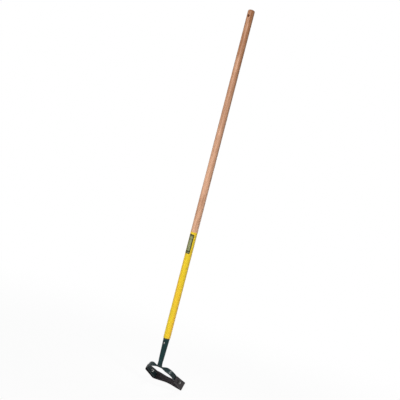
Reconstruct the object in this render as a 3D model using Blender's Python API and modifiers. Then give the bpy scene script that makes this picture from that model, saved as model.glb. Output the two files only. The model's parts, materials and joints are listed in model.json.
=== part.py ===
"""Oscillating hoe: a long wooden handle in a steel socket, a forged yoke, and a U-shaped blade that swings on it.

+Z runs up the handle, +X along the pivot bolts and +Y forward, to the side the head is bent to.
The origin is the middle of the hanging hole, on the handle's axis. Lengths are in metres.
"""

import math

import bmesh
import bpy
from mathutils import Matrix, Vector

MM = 0.001

# Gaps between pieces
GAP = 0.3 * MM
STOP_GAP = 0.5 * MM

# Handle
HANDLE_LENGTH = 1372 * MM
BUTT_DIAMETER = 28.4 * MM
FOOT_DIAMETER = 29.2 * MM
BUTT_DOME = 7 * MM
FOOT_ROUNDING = 1.5 * MM
LACQUER_LENGTH = 448 * MM
TENON_LENGTH = 58 * MM
TENON_CHAMFER = 1 * MM
HANG_HOLE_DROP = 28 * MM
HANG_HOLE_DIAMETER = 10 * MM

# Sticker on the lacquered part of the handle
STICKER_LENGTH = 80 * MM
STICKER_WIDTH = 21 * MM
STICKER_THICKNESS = 0.25 * MM
STICKER_DROP = 12 * MM
STICKER_TURN = math.radians(8)

# Socket and its screw
SOCKET_LENGTH = 92 * MM
RIM_DIAMETER = 26.4 * MM
SOCKET_END_DIAMETER = 20.2 * MM
SOCKET_WALL = 1.6 * MM
SOCKET_EDGE_ROUNDING = 0.5 * MM
SCREW_DROP = 20 * MM
SCREW_TURN = math.radians(12)
SCREW_HEAD_DIAMETER = 7.6 * MM
SCREW_HEAD_HEIGHT = 2.2 * MM
SCREW_SHAFT_DIAMETER = 3.6 * MM
SCREW_LENGTH = 11 * MM
SCREW_SLOT_WIDTH = 1.1 * MM
SCREW_SLOT_DEPTH = 1 * MM

# Yoke
NECK_LENGTH = 28 * MM
NECK_DIAMETER = 19 * MM
SHANK_INSERT = 28 * MM
SHANK_CHAMFER = 1 * MM
BOW_ANGLE = math.radians(46.2)
ARM_BEND = math.radians(10.8)
YOKE_HEIGHT = 67.8 * MM
ARM_SPACING = 140 * MM
BOW_RADIUS = 43 * MM
BOW_WIDTH = 5.6 * MM
BOW_THICKNESS = 6.5 * MM
ARM_WIDTH = 21 * MM
ARM_GROWTH = 35 * MM
ARM_THICKNESS = 5.5 * MM
ARM_CORNER = 3 * MM
YOKE_EDGE_ROUNDING = 1.6 * MM
NECK_FLARE = 15 * MM
NECK_FOOT_WIDTH = 9 * MM

# Blade
BLADE_DEPTH = 48.7 * MM
EAR_HEIGHT = 35.5 * MM
EAR_WIDTH = 36 * MM
EAR_TOP_WIDTH = 26.5 * MM
EAR_CORNER = 6 * MM
BLADE_WIDTH = 24.5 * MM
BLADE_THICKNESS = 2.5 * MM
BLADE_BEND_RADIUS = 5.2 * MM
EDGE_THICKNESS = 0.5 * MM
BEVEL_WIDTH = 6 * MM
SWING = math.radians(14)
BLADE_LEAN = math.radians(5)

# Pivot bolts and what is on them
BOLT_DIAMETER = 6 * MM
BOLT_HEAD_FLATS = 10 * MM
BOLT_HEAD_HEIGHT = 4 * MM
BOLT_END_OUT = 2 * MM
BUSHING_DIAMETER = 8.6 * MM
WASHER_DIAMETER = 12 * MM
WASHER_THICKNESS = 1.6 * MM
SPACER_DIAMETER = 16 * MM
SPACER_THICKNESS = 1.2 * MM
NUT_HEX_HEIGHT = 4.4 * MM
NUT_COLLAR_HEIGHT = 1.8 * MM
NUT_COLLAR_DIAMETER = 9.4 * MM
NUT_RING_HEIGHT = 1.2 * MM
NUT_RING_WALL = 0.7 * MM

# Levels along the handle, and the angle of the arms, all worked out from the sizes above
BUTT_Z = HANG_HOLE_DROP
RIM_Z = BUTT_Z - HANDLE_LENGTH
LACQUER_Z = RIM_Z + LACQUER_LENGTH
SOCKET_END_Z = RIM_Z - SOCKET_LENGTH
BOW_Z = SOCKET_END_Z - NECK_LENGTH
ARM_ANGLE = BOW_ANGLE + ARM_BEND

HANDLE_STEPS = 40
ROUND_STEPS = 32
SMALL_STEPS = 24

FINISHES = {
    "ash_wood": ((0.49, 0.25, 0.13), 0.5, 0.0),
    "yellow_lacquer": ((0.8, 0.55, 0.04), 0.35, 0.0),
    "green_sticker": ((0.08, 0.1, 0.02), 0.4, 0.0),
    "green_paint": ((0.02, 0.05, 0.04), 0.45, 0.0),
    "blade_steel": ((0.06, 0.05, 0.05), 0.5, 0.9),
    "zinc_steel": ((0.4, 0.4, 0.4), 0.35, 1.0),
    "nylon": ((0.75, 0.75, 0.7), 0.5, 0.0),
}


def clear_scene():
    for obj in list(bpy.data.objects):
        bpy.data.objects.remove(obj)


def new_collection(name):
    collection = bpy.data.collections.new(name)
    bpy.context.scene.collection.children.link(collection)
    return collection


def finish_material(name):
    """The material of that finish, made the first time it is asked for."""
    if name in bpy.data.materials:
        return bpy.data.materials[name]
    colour, roughness, metallic = FINISHES[name]
    material = bpy.data.materials.new(name)
    material.use_nodes = True
    shader = material.node_tree.nodes["Principled BSDF"]
    shader.inputs["Base Color"].default_value = (*colour, 1)
    shader.inputs["Roughness"].default_value = roughness
    shader.inputs["Metallic"].default_value = metallic
    material.diffuse_color = (*colour, 1)
    return material


def add_object(name, mesh, collection, parent=None, location=(0, 0, 0), rotation=(0, 0, 0)):
    obj = bpy.data.objects.new(name, mesh)
    collection.objects.link(obj)
    obj.parent = parent
    obj.location = location
    obj.rotation_euler = rotation
    return obj


def add_tool(name, mesh, parent=None, location=(0, 0, 0), rotation=(0, 0, 0)):
    """A solid that only cuts or joins others, so it isn't a piece of the hoe."""
    tool = add_object(name, mesh, cutters, parent, location, rotation)
    tool.hide_render = True
    tool.display_type = "WIRE"
    return tool


def combine(obj, tool, operation):
    modifier = obj.modifiers.new(operation.lower() + "_" + tool.name, "BOOLEAN")
    modifier.operation = operation
    modifier.object = tool
    modifier.solver = "EXACT"


def smooth_rounds(mesh, sharp_angle=math.radians(35)):
    mesh.shade_smooth()
    mesh.set_sharp_from_angle(angle=sharp_angle)


def cylinder_mesh(name, radius, length, segments=ROUND_STEPS):
    """A cylinder along Z, centred on its origin."""
    mesh = bpy.data.meshes.new(name)
    shape = bmesh.new()
    bmesh.ops.create_cone(shape, cap_ends=True, segments=segments, radius1=radius, radius2=radius, depth=length)
    shape.to_mesh(mesh)
    shape.free()
    return mesh


def box_mesh(name, size):
    """A box of that size, centred on its origin."""
    mesh = bpy.data.meshes.new(name)
    shape = bmesh.new()
    bmesh.ops.create_cube(shape, size=1, matrix=Matrix.Diagonal((*size, 1)))
    shape.to_mesh(mesh)
    shape.free()
    return mesh


def turned_mesh(name, profile, closed=False, steps=ROUND_STEPS):
    """Turns a profile of (radius, height) points, listed down its outer side, about Z with a Screw modifier."""
    outline = bpy.data.meshes.new(name + "_outline")
    edges = [(i, i + 1) for i in range(len(profile) - 1)]
    if closed:
        edges.append((len(profile) - 1, 0))
    outline.from_pydata([(radius, 0, height) for radius, height in profile], edges, [])
    lathe = add_tool(name + "_lathe", outline)
    screw = lathe.modifiers.new("turn", "SCREW")
    screw.steps = steps
    screw.render_steps = steps
    screw.use_merge_vertices = True
    screw.merge_threshold = 0.00001
    screw.use_smooth_shade = True
    bpy.context.view_layer.update()
    mesh = bpy.data.meshes.new_from_object(lathe.evaluated_get(bpy.context.evaluated_depsgraph_get()))
    mesh.name = name
    bpy.data.objects.remove(lathe)
    smooth_rounds(mesh)
    return mesh


def ring_mesh(name, outer_radius, inner_radius, height, edge):
    """A flat ring standing on its origin along Z, with its outer edges broken by a small chamfer."""
    profile = [
        (inner_radius, height),
        (outer_radius - edge, height),
        (outer_radius, height - edge),
        (outer_radius, edge),
        (outer_radius - edge, 0),
        (inner_radius, 0),
    ]
    return turned_mesh(name, profile, closed=True, steps=SMALL_STEPS)


def loft_mesh(name, rings):
    """Skins a row of closed rings that have the same number of points, with a flat cap at each end."""
    mesh = bpy.data.meshes.new(name)
    shape = bmesh.new()
    loops = [[shape.verts.new(point) for point in ring] for ring in rings]
    count = len(loops[0])
    for near, far in zip(loops, loops[1:]):
        for i in range(count):
            j = (i + 1) % count
            shape.faces.new((near[i], near[j], far[j], far[i]))
    shape.faces.new(loops[0])
    shape.faces.new(loops[-1])
    bmesh.ops.recalc_face_normals(shape, faces=shape.faces)
    shape.to_mesh(mesh)
    shape.free()
    smooth_rounds(mesh)
    return mesh


def smooth_step(share):
    share = min(max(share, 0), 1)
    return share * share * (3 - 2 * share)


def u_outline(half_width, radius, flat_level, end_level, flat_parts, corner_parts, leg_parts, end_rounding):
    """One half of a U in the XZ plane, as (x, z, distance along) from its middle to its end.

    The last stretch, end_rounding long, has closer points for a rounded end.
    """
    sign = 1 if end_level > flat_level else -1
    points = [((half_width - radius) * i / flat_parts, flat_level) for i in range(flat_parts)]
    for i in range(corner_parts + 1):
        turn = math.pi / 2 * i / corner_parts
        x = half_width - radius + radius * math.sin(turn)
        z = flat_level + sign * radius * (1 - math.cos(turn))
        points.append((x, z))
    leg_start = flat_level + sign * radius
    leg_end = end_level - sign * end_rounding
    for i in range(1, leg_parts + 1):
        points.append((half_width, leg_start + (leg_end - leg_start) * i / leg_parts))
    for i in range(1, 6):
        turn = math.pi / 2 * i / 5
        points.append((half_width, leg_end + sign * end_rounding * math.sin(turn)))
    distance = 0
    outline = []
    for (x, z), (last_x, last_z) in zip(points, points[:1] + points[:-1]):
        distance += math.hypot(x - last_x, z - last_z)
        outline.append((x, z, distance))
    return outline


def both_halves(half):
    """The whole outline from the left end to the right end, with the distance counted from the middle."""
    left = [(-x, z, distance) for x, z, distance in reversed(half[1:])]
    return left + half


def outline_tangents(outline):
    tangents = []
    for i in range(len(outline)):
        before = outline[max(i - 1, 0)]
        after = outline[min(i + 1, len(outline) - 1)]
        tangents.append(Vector((after[0] - before[0], after[1] - before[1])).normalized())
    return tangents


def end_inset(to_end, rounding):
    """How far a side draws in at a distance from a rounded end."""
    if to_end >= rounding:
        return 0
    return rounding - math.sqrt(max(rounding**2 - (rounding - to_end) ** 2, 0))


def rounded_section(half_width, half_thickness, rounding):
    """Points round a rectangle with rounded corners, as (across, out)."""
    rounding = min(rounding, half_width * 0.95, half_thickness * 0.95)
    points = []
    for corner, (side_a, side_b) in enumerate(((1, 1), (-1, 1), (-1, -1), (1, -1))):
        for i in range(4):
            turn = math.pi / 2 * (corner + i / 3)
            across = side_a * (half_width - rounding) + rounding * math.cos(turn)
            out = side_b * (half_thickness - rounding) + rounding * math.sin(turn)
            points.append((across, out))
    return points


def arm_side_view(height):
    """Where the yoke's middle line is in the side view, at a height above the pivots: (forward, up, lean)."""
    if height <= 0:
        return 0, height, 0
    forward = 0
    up = 0
    parts = 60
    for i in range(parts):
        middle = height * (i + 0.5) / parts
        lean = ARM_BEND * smooth_step(middle / (0.9 * YOKE_HEIGHT))
        forward += math.sin(lean) * height / parts
        up += math.cos(lean) * height / parts
    return forward, up, ARM_BEND * smooth_step(height / (0.9 * YOKE_HEIGHT))


def arm_reach():
    """How far an arm goes below the pivots, so that its end stops the blade at the end of its swing."""
    floor = BLADE_DEPTH - BLADE_THICKNESS / 2 - STOP_GAP
    half_flat = ARM_WIDTH / 2 - ARM_CORNER
    return (floor - ARM_CORNER - half_flat * math.sin(SWING)) / math.cos(SWING) + ARM_CORNER


def socket_radius(depth):
    """The socket's outer radius at a depth below its rim."""
    return (RIM_DIAMETER + (SOCKET_END_DIAMETER - RIM_DIAMETER) * depth / SOCKET_LENGTH) / 2


def handle_radius(z):
    """The handle's radius at a height."""
    return (BUTT_DIAMETER + (FOOT_DIAMETER - BUTT_DIAMETER) * (BUTT_Z - z) / HANDLE_LENGTH) / 2


def make_handle():
    tenon_top = socket_radius(0) - SOCKET_WALL - GAP
    tenon_end = socket_radius(TENON_LENGTH) - SOCKET_WALL - GAP
    tenon_end_z = RIM_Z - TENON_LENGTH
    foot_z = RIM_Z + GAP
    foot_radius = handle_radius(foot_z)
    profile = []
    for i in range(8):
        turn = math.pi / 2 * i / 7
        profile.append((handle_radius(BUTT_Z) * math.sin(turn), BUTT_Z - BUTT_DOME * (1 - math.cos(turn))))
    profile.append((handle_radius(LACQUER_Z), LACQUER_Z))
    for i in range(4):
        turn = math.pi / 2 * i / 3
        radius = foot_radius - FOOT_ROUNDING * (1 - math.cos(turn))
        profile.append((radius, foot_z + FOOT_ROUNDING * (1 - math.sin(turn))))
    profile.append((tenon_top, foot_z))
    profile.append((tenon_end, tenon_end_z + TENON_CHAMFER))
    profile.append((tenon_end - TENON_CHAMFER, tenon_end_z))
    profile.append((0, tenon_end_z))
    handle = add_object("handle", turned_mesh("handle", profile, steps=HANDLE_STEPS), parts)
    handle.data.materials.append(finish_material("ash_wood"))
    handle.data.materials.append(finish_material("yellow_lacquer"))
    for face in handle.data.polygons:
        face.material_index = int(foot_z - GAP < face.center.z < LACQUER_Z)
    hole = cylinder_mesh("hang_hole_cutter", HANG_HOLE_DIAMETER / 2, BUTT_DIAMETER * 2)
    combine(handle, add_tool("hang_hole_cutter", hole, rotation=(math.pi / 2, 0, 0)), "DIFFERENCE")
    combine(handle, screw_hole_cutter("screw_pilot_cutter", SCREW_LENGTH + GAP), "DIFFERENCE")


def make_sticker():
    """A thin plain rectangle bent round the back of the handle."""
    radius = handle_radius(LACQUER_Z - STICKER_DROP - STICKER_LENGTH) + GAP
    middle_z = LACQUER_Z - STICKER_DROP - STICKER_LENGTH / 2
    mesh = bpy.data.meshes.new("sticker")
    shape = bmesh.new()
    bmesh.ops.create_grid(shape, x_segments=12, y_segments=4, size=0.5)
    for vert in shape.verts:
        turn = vert.co.x * STICKER_WIDTH / radius
        vert.co = (radius * math.sin(turn), -radius * math.cos(turn), vert.co.y * STICKER_LENGTH)
    shape.to_mesh(mesh)
    shape.free()
    smooth_rounds(mesh)
    sticker = add_object("sticker", mesh, parts, location=(0, 0, middle_z), rotation=(0, 0, STICKER_TURN))
    sticker.data.materials.append(finish_material("green_sticker"))
    solid = sticker.modifiers.new("thickness", "SOLIDIFY")
    solid.thickness = STICKER_THICKNESS
    solid.offset = 1


def screw_seat():
    """How far from the handle's axis the socket screw's head sits."""
    return socket_radius(SCREW_DROP - SCREW_HEAD_DIAMETER / 2) + GAP


def screw_hole_cutter(name, depth):
    """A round cutter on the socket screw's line, that goes in to a depth behind the head."""
    radius = SCREW_SHAFT_DIAMETER / 2 + GAP
    length = depth + SCREW_HEAD_HEIGHT
    mesh = cylinder_mesh(name, radius, length, segments=SMALL_STEPS)
    reach = screw_seat() + SCREW_HEAD_HEIGHT - length / 2
    place = (reach * math.sin(SCREW_TURN), -reach * math.cos(SCREW_TURN), RIM_Z - SCREW_DROP)
    return add_tool(name, mesh, location=place, rotation=(math.pi / 2, 0, SCREW_TURN))


def make_socket():
    end = socket_radius(SOCKET_LENGTH)
    rim = socket_radius(0)
    edge = SOCKET_EDGE_ROUNDING
    profile = [
        (rim - SOCKET_WALL, RIM_Z),
        (rim - edge, RIM_Z),
        (rim, RIM_Z - edge),
        (end, SOCKET_END_Z + edge),
        (end - edge, SOCKET_END_Z),
        (end - SOCKET_WALL, SOCKET_END_Z),
    ]
    socket = add_object("socket", turned_mesh("socket", profile, closed=True, steps=HANDLE_STEPS), parts)
    socket.data.materials.append(finish_material("green_paint"))
    combine(socket, screw_hole_cutter("socket_screw_cutter", SCREW_LENGTH), "DIFFERENCE")


def make_socket_screw():
    shaft = SCREW_SHAFT_DIAMETER / 2
    head = SCREW_HEAD_DIAMETER / 2
    profile = [(0, SCREW_HEAD_HEIGHT)]
    for i in range(1, 5):
        turn = math.pi / 2 * i / 4
        profile.append((head * math.sin(turn), SCREW_HEAD_HEIGHT * (0.3 + 0.7 * math.cos(turn))))
    profile += [(head, 0), (shaft, 0), (shaft, shaft - SCREW_LENGTH), (0, -SCREW_LENGTH)]
    reach = screw_seat()
    place = (reach * math.sin(SCREW_TURN), -reach * math.cos(SCREW_TURN), RIM_Z - SCREW_DROP)
    turn = (math.pi / 2, 0, SCREW_TURN)
    mesh = turned_mesh("socket_screw", profile, steps=SMALL_STEPS)
    screw = add_object("socket_screw", mesh, parts, None, place, turn)
    screw.data.materials.append(finish_material("zinc_steel"))
    slot = box_mesh("screw_slot_cutter", (SCREW_SLOT_WIDTH, SCREW_HEAD_DIAMETER * 1.2, SCREW_SLOT_DEPTH * 2))
    combine(screw, add_tool("screw_slot_cutter", slot, screw, (0, 0, SCREW_HEAD_HEIGHT)), "DIFFERENCE")


def neck_rings():
    """Round rings down the shank and the neck, which flares along the bow where it meets it."""
    shank = socket_radius(SOCKET_LENGTH) - SOCKET_WALL - GAP
    neck = NECK_DIAMETER / 2
    top = NECK_LENGTH + SHANK_INSERT
    shoulder = NECK_LENGTH - GAP
    foot = NECK_FOOT_WIDTH / 2
    sizes = [
        (top, shank - SHANK_CHAMFER, shank - SHANK_CHAMFER),
        (top - SHANK_CHAMFER, shank, shank),
        (shoulder, shank, shank),
        (shoulder, neck, neck),
    ]
    parts_down = 9
    for i in range(parts_down + 1):
        share = i / parts_down
        height = NECK_LENGTH * 0.75 * (1 - share)
        across = neck + (NECK_FLARE - neck) * share**3
        deep = neck + (foot - neck) * smooth_step(share**3)
        sizes.append((height, across, deep))
    sizes.append((-BOW_THICKNESS * 0.25, NECK_FLARE * 0.9, foot * 0.85))
    sizes.append((-BOW_THICKNESS * 0.4, NECK_FLARE * 0.7, foot * 0.5))
    rings = []
    for height, across, deep in sizes:
        turns = [2 * math.pi * i / ROUND_STEPS for i in range(ROUND_STEPS)]
        rings.append([(across * math.cos(turn), deep * math.sin(turn), BOW_Z + height) for turn in turns])
    return rings


def make_yoke(head):
    reach = arm_reach()
    half = u_outline(ARM_SPACING / 2, BOW_RADIUS, YOKE_HEIGHT, -reach, 6, 10, 5, ARM_CORNER)
    outline = both_halves(half)
    total = half[-1][2]
    rings = []
    for (x, z, distance), tangent in zip(outline, outline_tangents(outline)):
        forward, up, lean = arm_side_view(z)
        share = smooth_step((distance - NECK_FLARE / 2) / ARM_GROWTH)
        to_end = total - distance
        half_width = (BOW_WIDTH + (ARM_WIDTH - BOW_WIDTH) * share) / 2 - end_inset(to_end, ARM_CORNER)
        half_thick = (BOW_THICKNESS + (ARM_THICKNESS - BOW_THICKNESS) * share) / 2
        half_thick -= end_inset(to_end, YOKE_EDGE_ROUNDING)
        rounding = YOKE_EDGE_ROUNDING * (2 - share)
        across_way = Vector((0, math.cos(lean), -math.sin(lean)))
        up_way = Vector((0, math.sin(lean), math.cos(lean)))
        out_way = Vector((-tangent.y, 0, 0)) + up_way * tangent.x
        centre = Vector((x, forward, up))
        section = rounded_section(half_width, half_thick, rounding)
        rings.append([centre + across_way * across + out_way * out for across, out in section])
    yoke = add_object("yoke", loft_mesh("yoke", rings), parts, head)
    yoke.data.materials.append(finish_material("green_paint"))
    combine(yoke, add_tool("neck_tool", loft_mesh("neck_tool", neck_rings())), "UNION")
    hole = cylinder_mesh("arm_hole_cutter", BOLT_DIAMETER / 2 + GAP, ARM_SPACING * 1.2)
    combine(yoke, add_tool("arm_hole_cutter", hole, head, rotation=(0, math.pi / 2, 0)), "DIFFERENCE")


def ear_inside():
    """How far the ears' inner faces are from the middle of the hoe."""
    return (ARM_SPACING + ARM_THICKNESS) / 2 + GAP + SPACER_THICKNESS + GAP


def make_blade(blade_pivot):
    half_thick = BLADE_THICKNESS / 2
    half_spread = ear_inside() + half_thick
    half = u_outline(half_spread, BLADE_BEND_RADIUS, -BLADE_DEPTH, EAR_HEIGHT, 8, 6, 4, EAR_CORNER)
    outline = both_halves(half)
    total = half[-1][2]
    ear_start = half_spread - BLADE_BEND_RADIUS + BLADE_BEND_RADIUS * math.pi / 2
    rings = []
    for (x, z, distance), tangent in zip(outline, outline_tangents(outline)):
        spread = smooth_step(distance / ear_start)
        half_width = (BLADE_WIDTH + (EAR_WIDTH - BLADE_WIDTH) * spread) / 2
        half_width += (EAR_TOP_WIDTH - EAR_WIDTH) / 2 * max(distance - ear_start, 0) / (total - ear_start)
        half_width -= end_inset(total - distance, EAR_CORNER)
        plain = smooth_step((distance - 0.8 * ear_start) / (0.2 * ear_start))
        bevel = BEVEL_WIDTH + (GAP - BEVEL_WIDTH) * plain
        edge = EDGE_THICKNESS + (BLADE_THICKNESS - GAP - EDGE_THICKNESS) * plain
        section = [
            (-half_width, -half_thick),
            (half_width, -half_thick),
            (half_width, edge - half_thick),
            (half_width - bevel, half_thick),
            (bevel - half_width, half_thick),
            (-half_width, edge - half_thick),
        ]
        out_way = Vector((tangent.y, 0, -tangent.x))
        rings.append([Vector((x, across, z)) + out_way * out for across, out in section])
    blade = add_object("blade", loft_mesh("blade", rings), parts, blade_pivot)
    blade.data.materials.append(finish_material("blade_steel"))
    hole = cylinder_mesh("ear_hole_cutter", BUSHING_DIAMETER / 2 + GAP, half_spread * 2.4)
    combine(blade, add_tool("ear_hole_cutter", hole, blade_pivot, rotation=(0, math.pi / 2, 0)), "DIFFERENCE")


def hexagon(name, flats, height, chamfer_low):
    """A hexagon standing on its origin, with its corners turned off at the top, and at the bottom if asked."""
    corner = flats / math.sqrt(3)
    slope = (corner - flats / 2) * math.tan(math.radians(30))
    mesh = cylinder_mesh(name, corner, height, segments=6)
    mesh.transform(Matrix.Translation((0, 0, height / 2)))
    low = [(corner * 1.01, slope), (flats / 2, 0)] if chamfer_low else [(corner * 1.01, 0)]
    profile = [(0, height), (flats / 2, height), (corner * 1.01, height - slope), *low, (0, 0)]
    tool = add_tool(name + "_turning", turned_mesh(name + "_turning", profile))
    return mesh, tool


def make_pivot(side, sign, head):
    """The bolt of one side, and the pieces on it from the bolt's head to the nut, on the pivot axis."""
    turn = (0, sign * math.pi / 2, 0)
    arm_out = (ARM_SPACING + ARM_THICKNESS) / 2
    arm_in = (ARM_SPACING - ARM_THICKNESS) / 2
    ear_out = ear_inside() + BLADE_THICKNESS
    bolt_hole = BOLT_DIAMETER / 2 + GAP
    edge = GAP

    def place(name, mesh, level, finish):
        piece = add_object(f"{name}_{side}", mesh, parts, head, (sign * level, 0, 0), turn)
        piece.data.materials.append(finish_material(finish))
        return piece

    def add_ring(name, diameter, inner_radius, height, level, finish="zinc_steel"):
        place(name, ring_mesh(f"{name}_{side}", diameter / 2, inner_radius, height, edge), level, finish)

    spacer_hole = BUSHING_DIAMETER / 2 + GAP
    add_ring("bushing", BUSHING_DIAMETER, bolt_hole, ear_out - arm_out, arm_out + GAP)
    add_ring("spacer", SPACER_DIAMETER, spacer_hole, SPACER_THICKNESS, arm_out + GAP)
    outer_washer = ear_out + GAP * 2
    add_ring("outer_washer", WASHER_DIAMETER, bolt_hole, WASHER_THICKNESS, outer_washer)
    inner_washer = arm_in - GAP - WASHER_THICKNESS
    add_ring("inner_washer", WASHER_DIAMETER, bolt_hole, WASHER_THICKNESS, inner_washer)

    head_level = outer_washer + WASHER_THICKNESS + GAP
    nut_height = NUT_HEX_HEIGHT + NUT_COLLAR_HEIGHT
    nut_level = inner_washer - GAP - nut_height
    shank_length = head_level - nut_level + BOLT_END_OUT
    shank_radius = BOLT_DIAMETER / 2
    bolt_mesh, bolt_turning = hexagon(f"bolt_{side}", BOLT_HEAD_FLATS, BOLT_HEAD_HEIGHT, False)
    bolt = place("bolt", bolt_mesh, head_level, "zinc_steel")
    bolt_turning.parent = bolt
    combine(bolt, bolt_turning, "INTERSECT")
    shank_profile = [
        (0, BOLT_HEAD_HEIGHT / 2),
        (shank_radius, BOLT_HEAD_HEIGHT / 2),
        (shank_radius, edge * 3 - shank_length),
        (shank_radius - edge * 3, -shank_length),
        (0, -shank_length),
    ]
    shank = turned_mesh(f"bolt_shank_{side}", shank_profile, steps=SMALL_STEPS)
    combine(bolt, add_tool(f"bolt_shank_{side}", shank, bolt), "UNION")

    recess_radius = bolt_hole + NUT_RING_WALL + GAP
    nut_mesh, nut_turning = hexagon(f"nut_{side}", BOLT_HEAD_FLATS, NUT_HEX_HEIGHT, True)
    nut_mesh.transform(Matrix.Translation((0, 0, NUT_COLLAR_HEIGHT)))
    nut = place("nut", nut_mesh, nut_level, "zinc_steel")
    nut_turning.parent = nut
    nut_turning.location = (0, 0, NUT_COLLAR_HEIGHT)
    combine(nut, nut_turning, "INTERSECT")
    collar_radius = NUT_COLLAR_DIAMETER / 2
    collar_profile = [
        (0, NUT_COLLAR_HEIGHT * 1.5),
        (collar_radius, NUT_COLLAR_HEIGHT * 1.5),
        (collar_radius, edge * 2),
        (collar_radius - edge * 2, 0),
        (0, 0),
    ]
    collar = turned_mesh(f"nut_collar_{side}", collar_profile, steps=SMALL_STEPS)
    combine(nut, add_tool(f"nut_collar_{side}", collar, nut), "UNION")
    bore_profile = [
        (0, nut_height * 1.2),
        (bolt_hole, nut_height * 1.2),
        (bolt_hole, NUT_RING_HEIGHT + GAP),
        (recess_radius, NUT_RING_HEIGHT + GAP),
        (recess_radius, -GAP),
        (0, -GAP),
    ]
    bore = turned_mesh(f"nut_bore_{side}", bore_profile, steps=SMALL_STEPS)
    combine(nut, add_tool(f"nut_bore_{side}", bore, nut), "DIFFERENCE")
    ring_diameter = (recess_radius - GAP) * 2
    add_ring("nut_ring", ring_diameter, bolt_hole, NUT_RING_HEIGHT, nut_level, "nylon")


def pivot_place():
    """The pivot axis's middle point, found from the yoke's height and bend."""
    forward, up, _ = arm_side_view(YOKE_HEIGHT)
    to_bow = Matrix.Rotation(ARM_ANGLE, 3, "X") @ Vector((0, forward, up))
    return Vector((0, 0, BOW_Z)) - to_bow


clear_scene()
parts = new_collection("oscillating_hoe")
cutters = new_collection("cutters")
head_frame = add_object("head_frame", None, parts, None, pivot_place(), (ARM_ANGLE, 0, 0))
blade_frame = add_object("blade_pivot", None, parts, None, pivot_place(), (ARM_ANGLE + BLADE_LEAN, 0, 0))
make_handle()
make_sticker()
make_socket()
make_socket_screw()
make_yoke(head_frame)
make_blade(blade_frame)
make_pivot("left", -1, head_frame)
make_pivot("right", 1, head_frame)
bpy.context.view_layer.update()
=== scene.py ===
"""Oscillating hoe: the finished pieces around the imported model, a plain stage and the camera.

Lengths are in metres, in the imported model's frame: +Z runs up the handle from the hanging hole, +X along the
pivot bolts, and +Y forward, to the side that the head is bent to.
"""

import json
import math

import bmesh
import bpy
from mathutils import Matrix, Vector


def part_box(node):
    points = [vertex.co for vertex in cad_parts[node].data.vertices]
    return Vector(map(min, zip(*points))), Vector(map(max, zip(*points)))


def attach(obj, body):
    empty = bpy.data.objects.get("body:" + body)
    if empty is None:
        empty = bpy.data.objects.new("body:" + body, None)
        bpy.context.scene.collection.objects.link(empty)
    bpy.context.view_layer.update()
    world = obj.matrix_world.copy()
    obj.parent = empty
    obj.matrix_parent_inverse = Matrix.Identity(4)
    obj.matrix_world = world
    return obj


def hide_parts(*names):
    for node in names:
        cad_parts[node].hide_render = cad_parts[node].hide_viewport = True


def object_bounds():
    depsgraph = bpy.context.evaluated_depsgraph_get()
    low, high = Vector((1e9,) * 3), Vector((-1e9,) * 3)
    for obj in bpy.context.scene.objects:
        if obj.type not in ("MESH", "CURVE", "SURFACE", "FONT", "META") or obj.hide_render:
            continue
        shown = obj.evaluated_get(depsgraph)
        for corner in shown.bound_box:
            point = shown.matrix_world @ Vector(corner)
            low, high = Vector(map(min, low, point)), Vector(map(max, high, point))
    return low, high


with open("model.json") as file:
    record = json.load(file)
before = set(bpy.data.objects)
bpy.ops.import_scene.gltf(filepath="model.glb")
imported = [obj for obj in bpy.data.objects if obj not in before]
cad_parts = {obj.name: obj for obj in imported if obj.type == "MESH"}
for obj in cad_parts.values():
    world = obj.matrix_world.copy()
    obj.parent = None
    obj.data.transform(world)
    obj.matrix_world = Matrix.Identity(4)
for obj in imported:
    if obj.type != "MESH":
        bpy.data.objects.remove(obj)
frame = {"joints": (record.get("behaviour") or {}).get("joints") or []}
cad_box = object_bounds()

bl_info = {
    "name": "Oscillating hoe",
    "version": (1, 0, 0),
    "blender": (4, 5, 0),
    "location": "3D View > Sidebar > Hoe",
    "description": "Builds the finished pieces of an oscillating hoe, and a stage to show it on",
    "category": "Add Mesh",
}

HOLDING_BODY = "handle_and_yoke"
SWINGING_BODY = "swinging_blade"
SIDES = ("left", "right")

PIVOT = Vector(frame["joints"][0]["pos_m"])
BUTT_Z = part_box("handle")[1].z
TENON_END_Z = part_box("handle")[0].z
RIM_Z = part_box("socket")[1].z
SOCKET_END_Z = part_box("socket")[0].z
RIM_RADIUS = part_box("socket")[1].x

GAP = 0.0003
SHARP_ANGLE = math.radians(32)
WELD_DISTANCE = 0.000001
SCREW_SHAFT_RADIUS = 0.0018
SCREW_LENGTH = 0.011


# Settings a user can change


def number_setting(name, default, description, **limits):
    return bpy.props.FloatProperty(name=name, description=description, default=default, **limits)


def length_setting(name, default, description):
    return number_setting(name, default, description, min=0, unit="LENGTH", precision=5)


def angle_setting(name, degrees, description):
    return number_setting(name, math.radians(degrees), description, unit="ROTATION")


def share_setting(name, default, description):
    return number_setting(name, default, description, min=0, max=1, subtype="FACTOR")


def power_setting(name, default, description):
    return number_setting(name, default, description, min=0, unit="POWER")


def colour_setting(name, default, description):
    return bpy.props.FloatVectorProperty(
        name=name, description=description, default=default, size=3, min=0, max=1, subtype="COLOR"
    )


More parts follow.
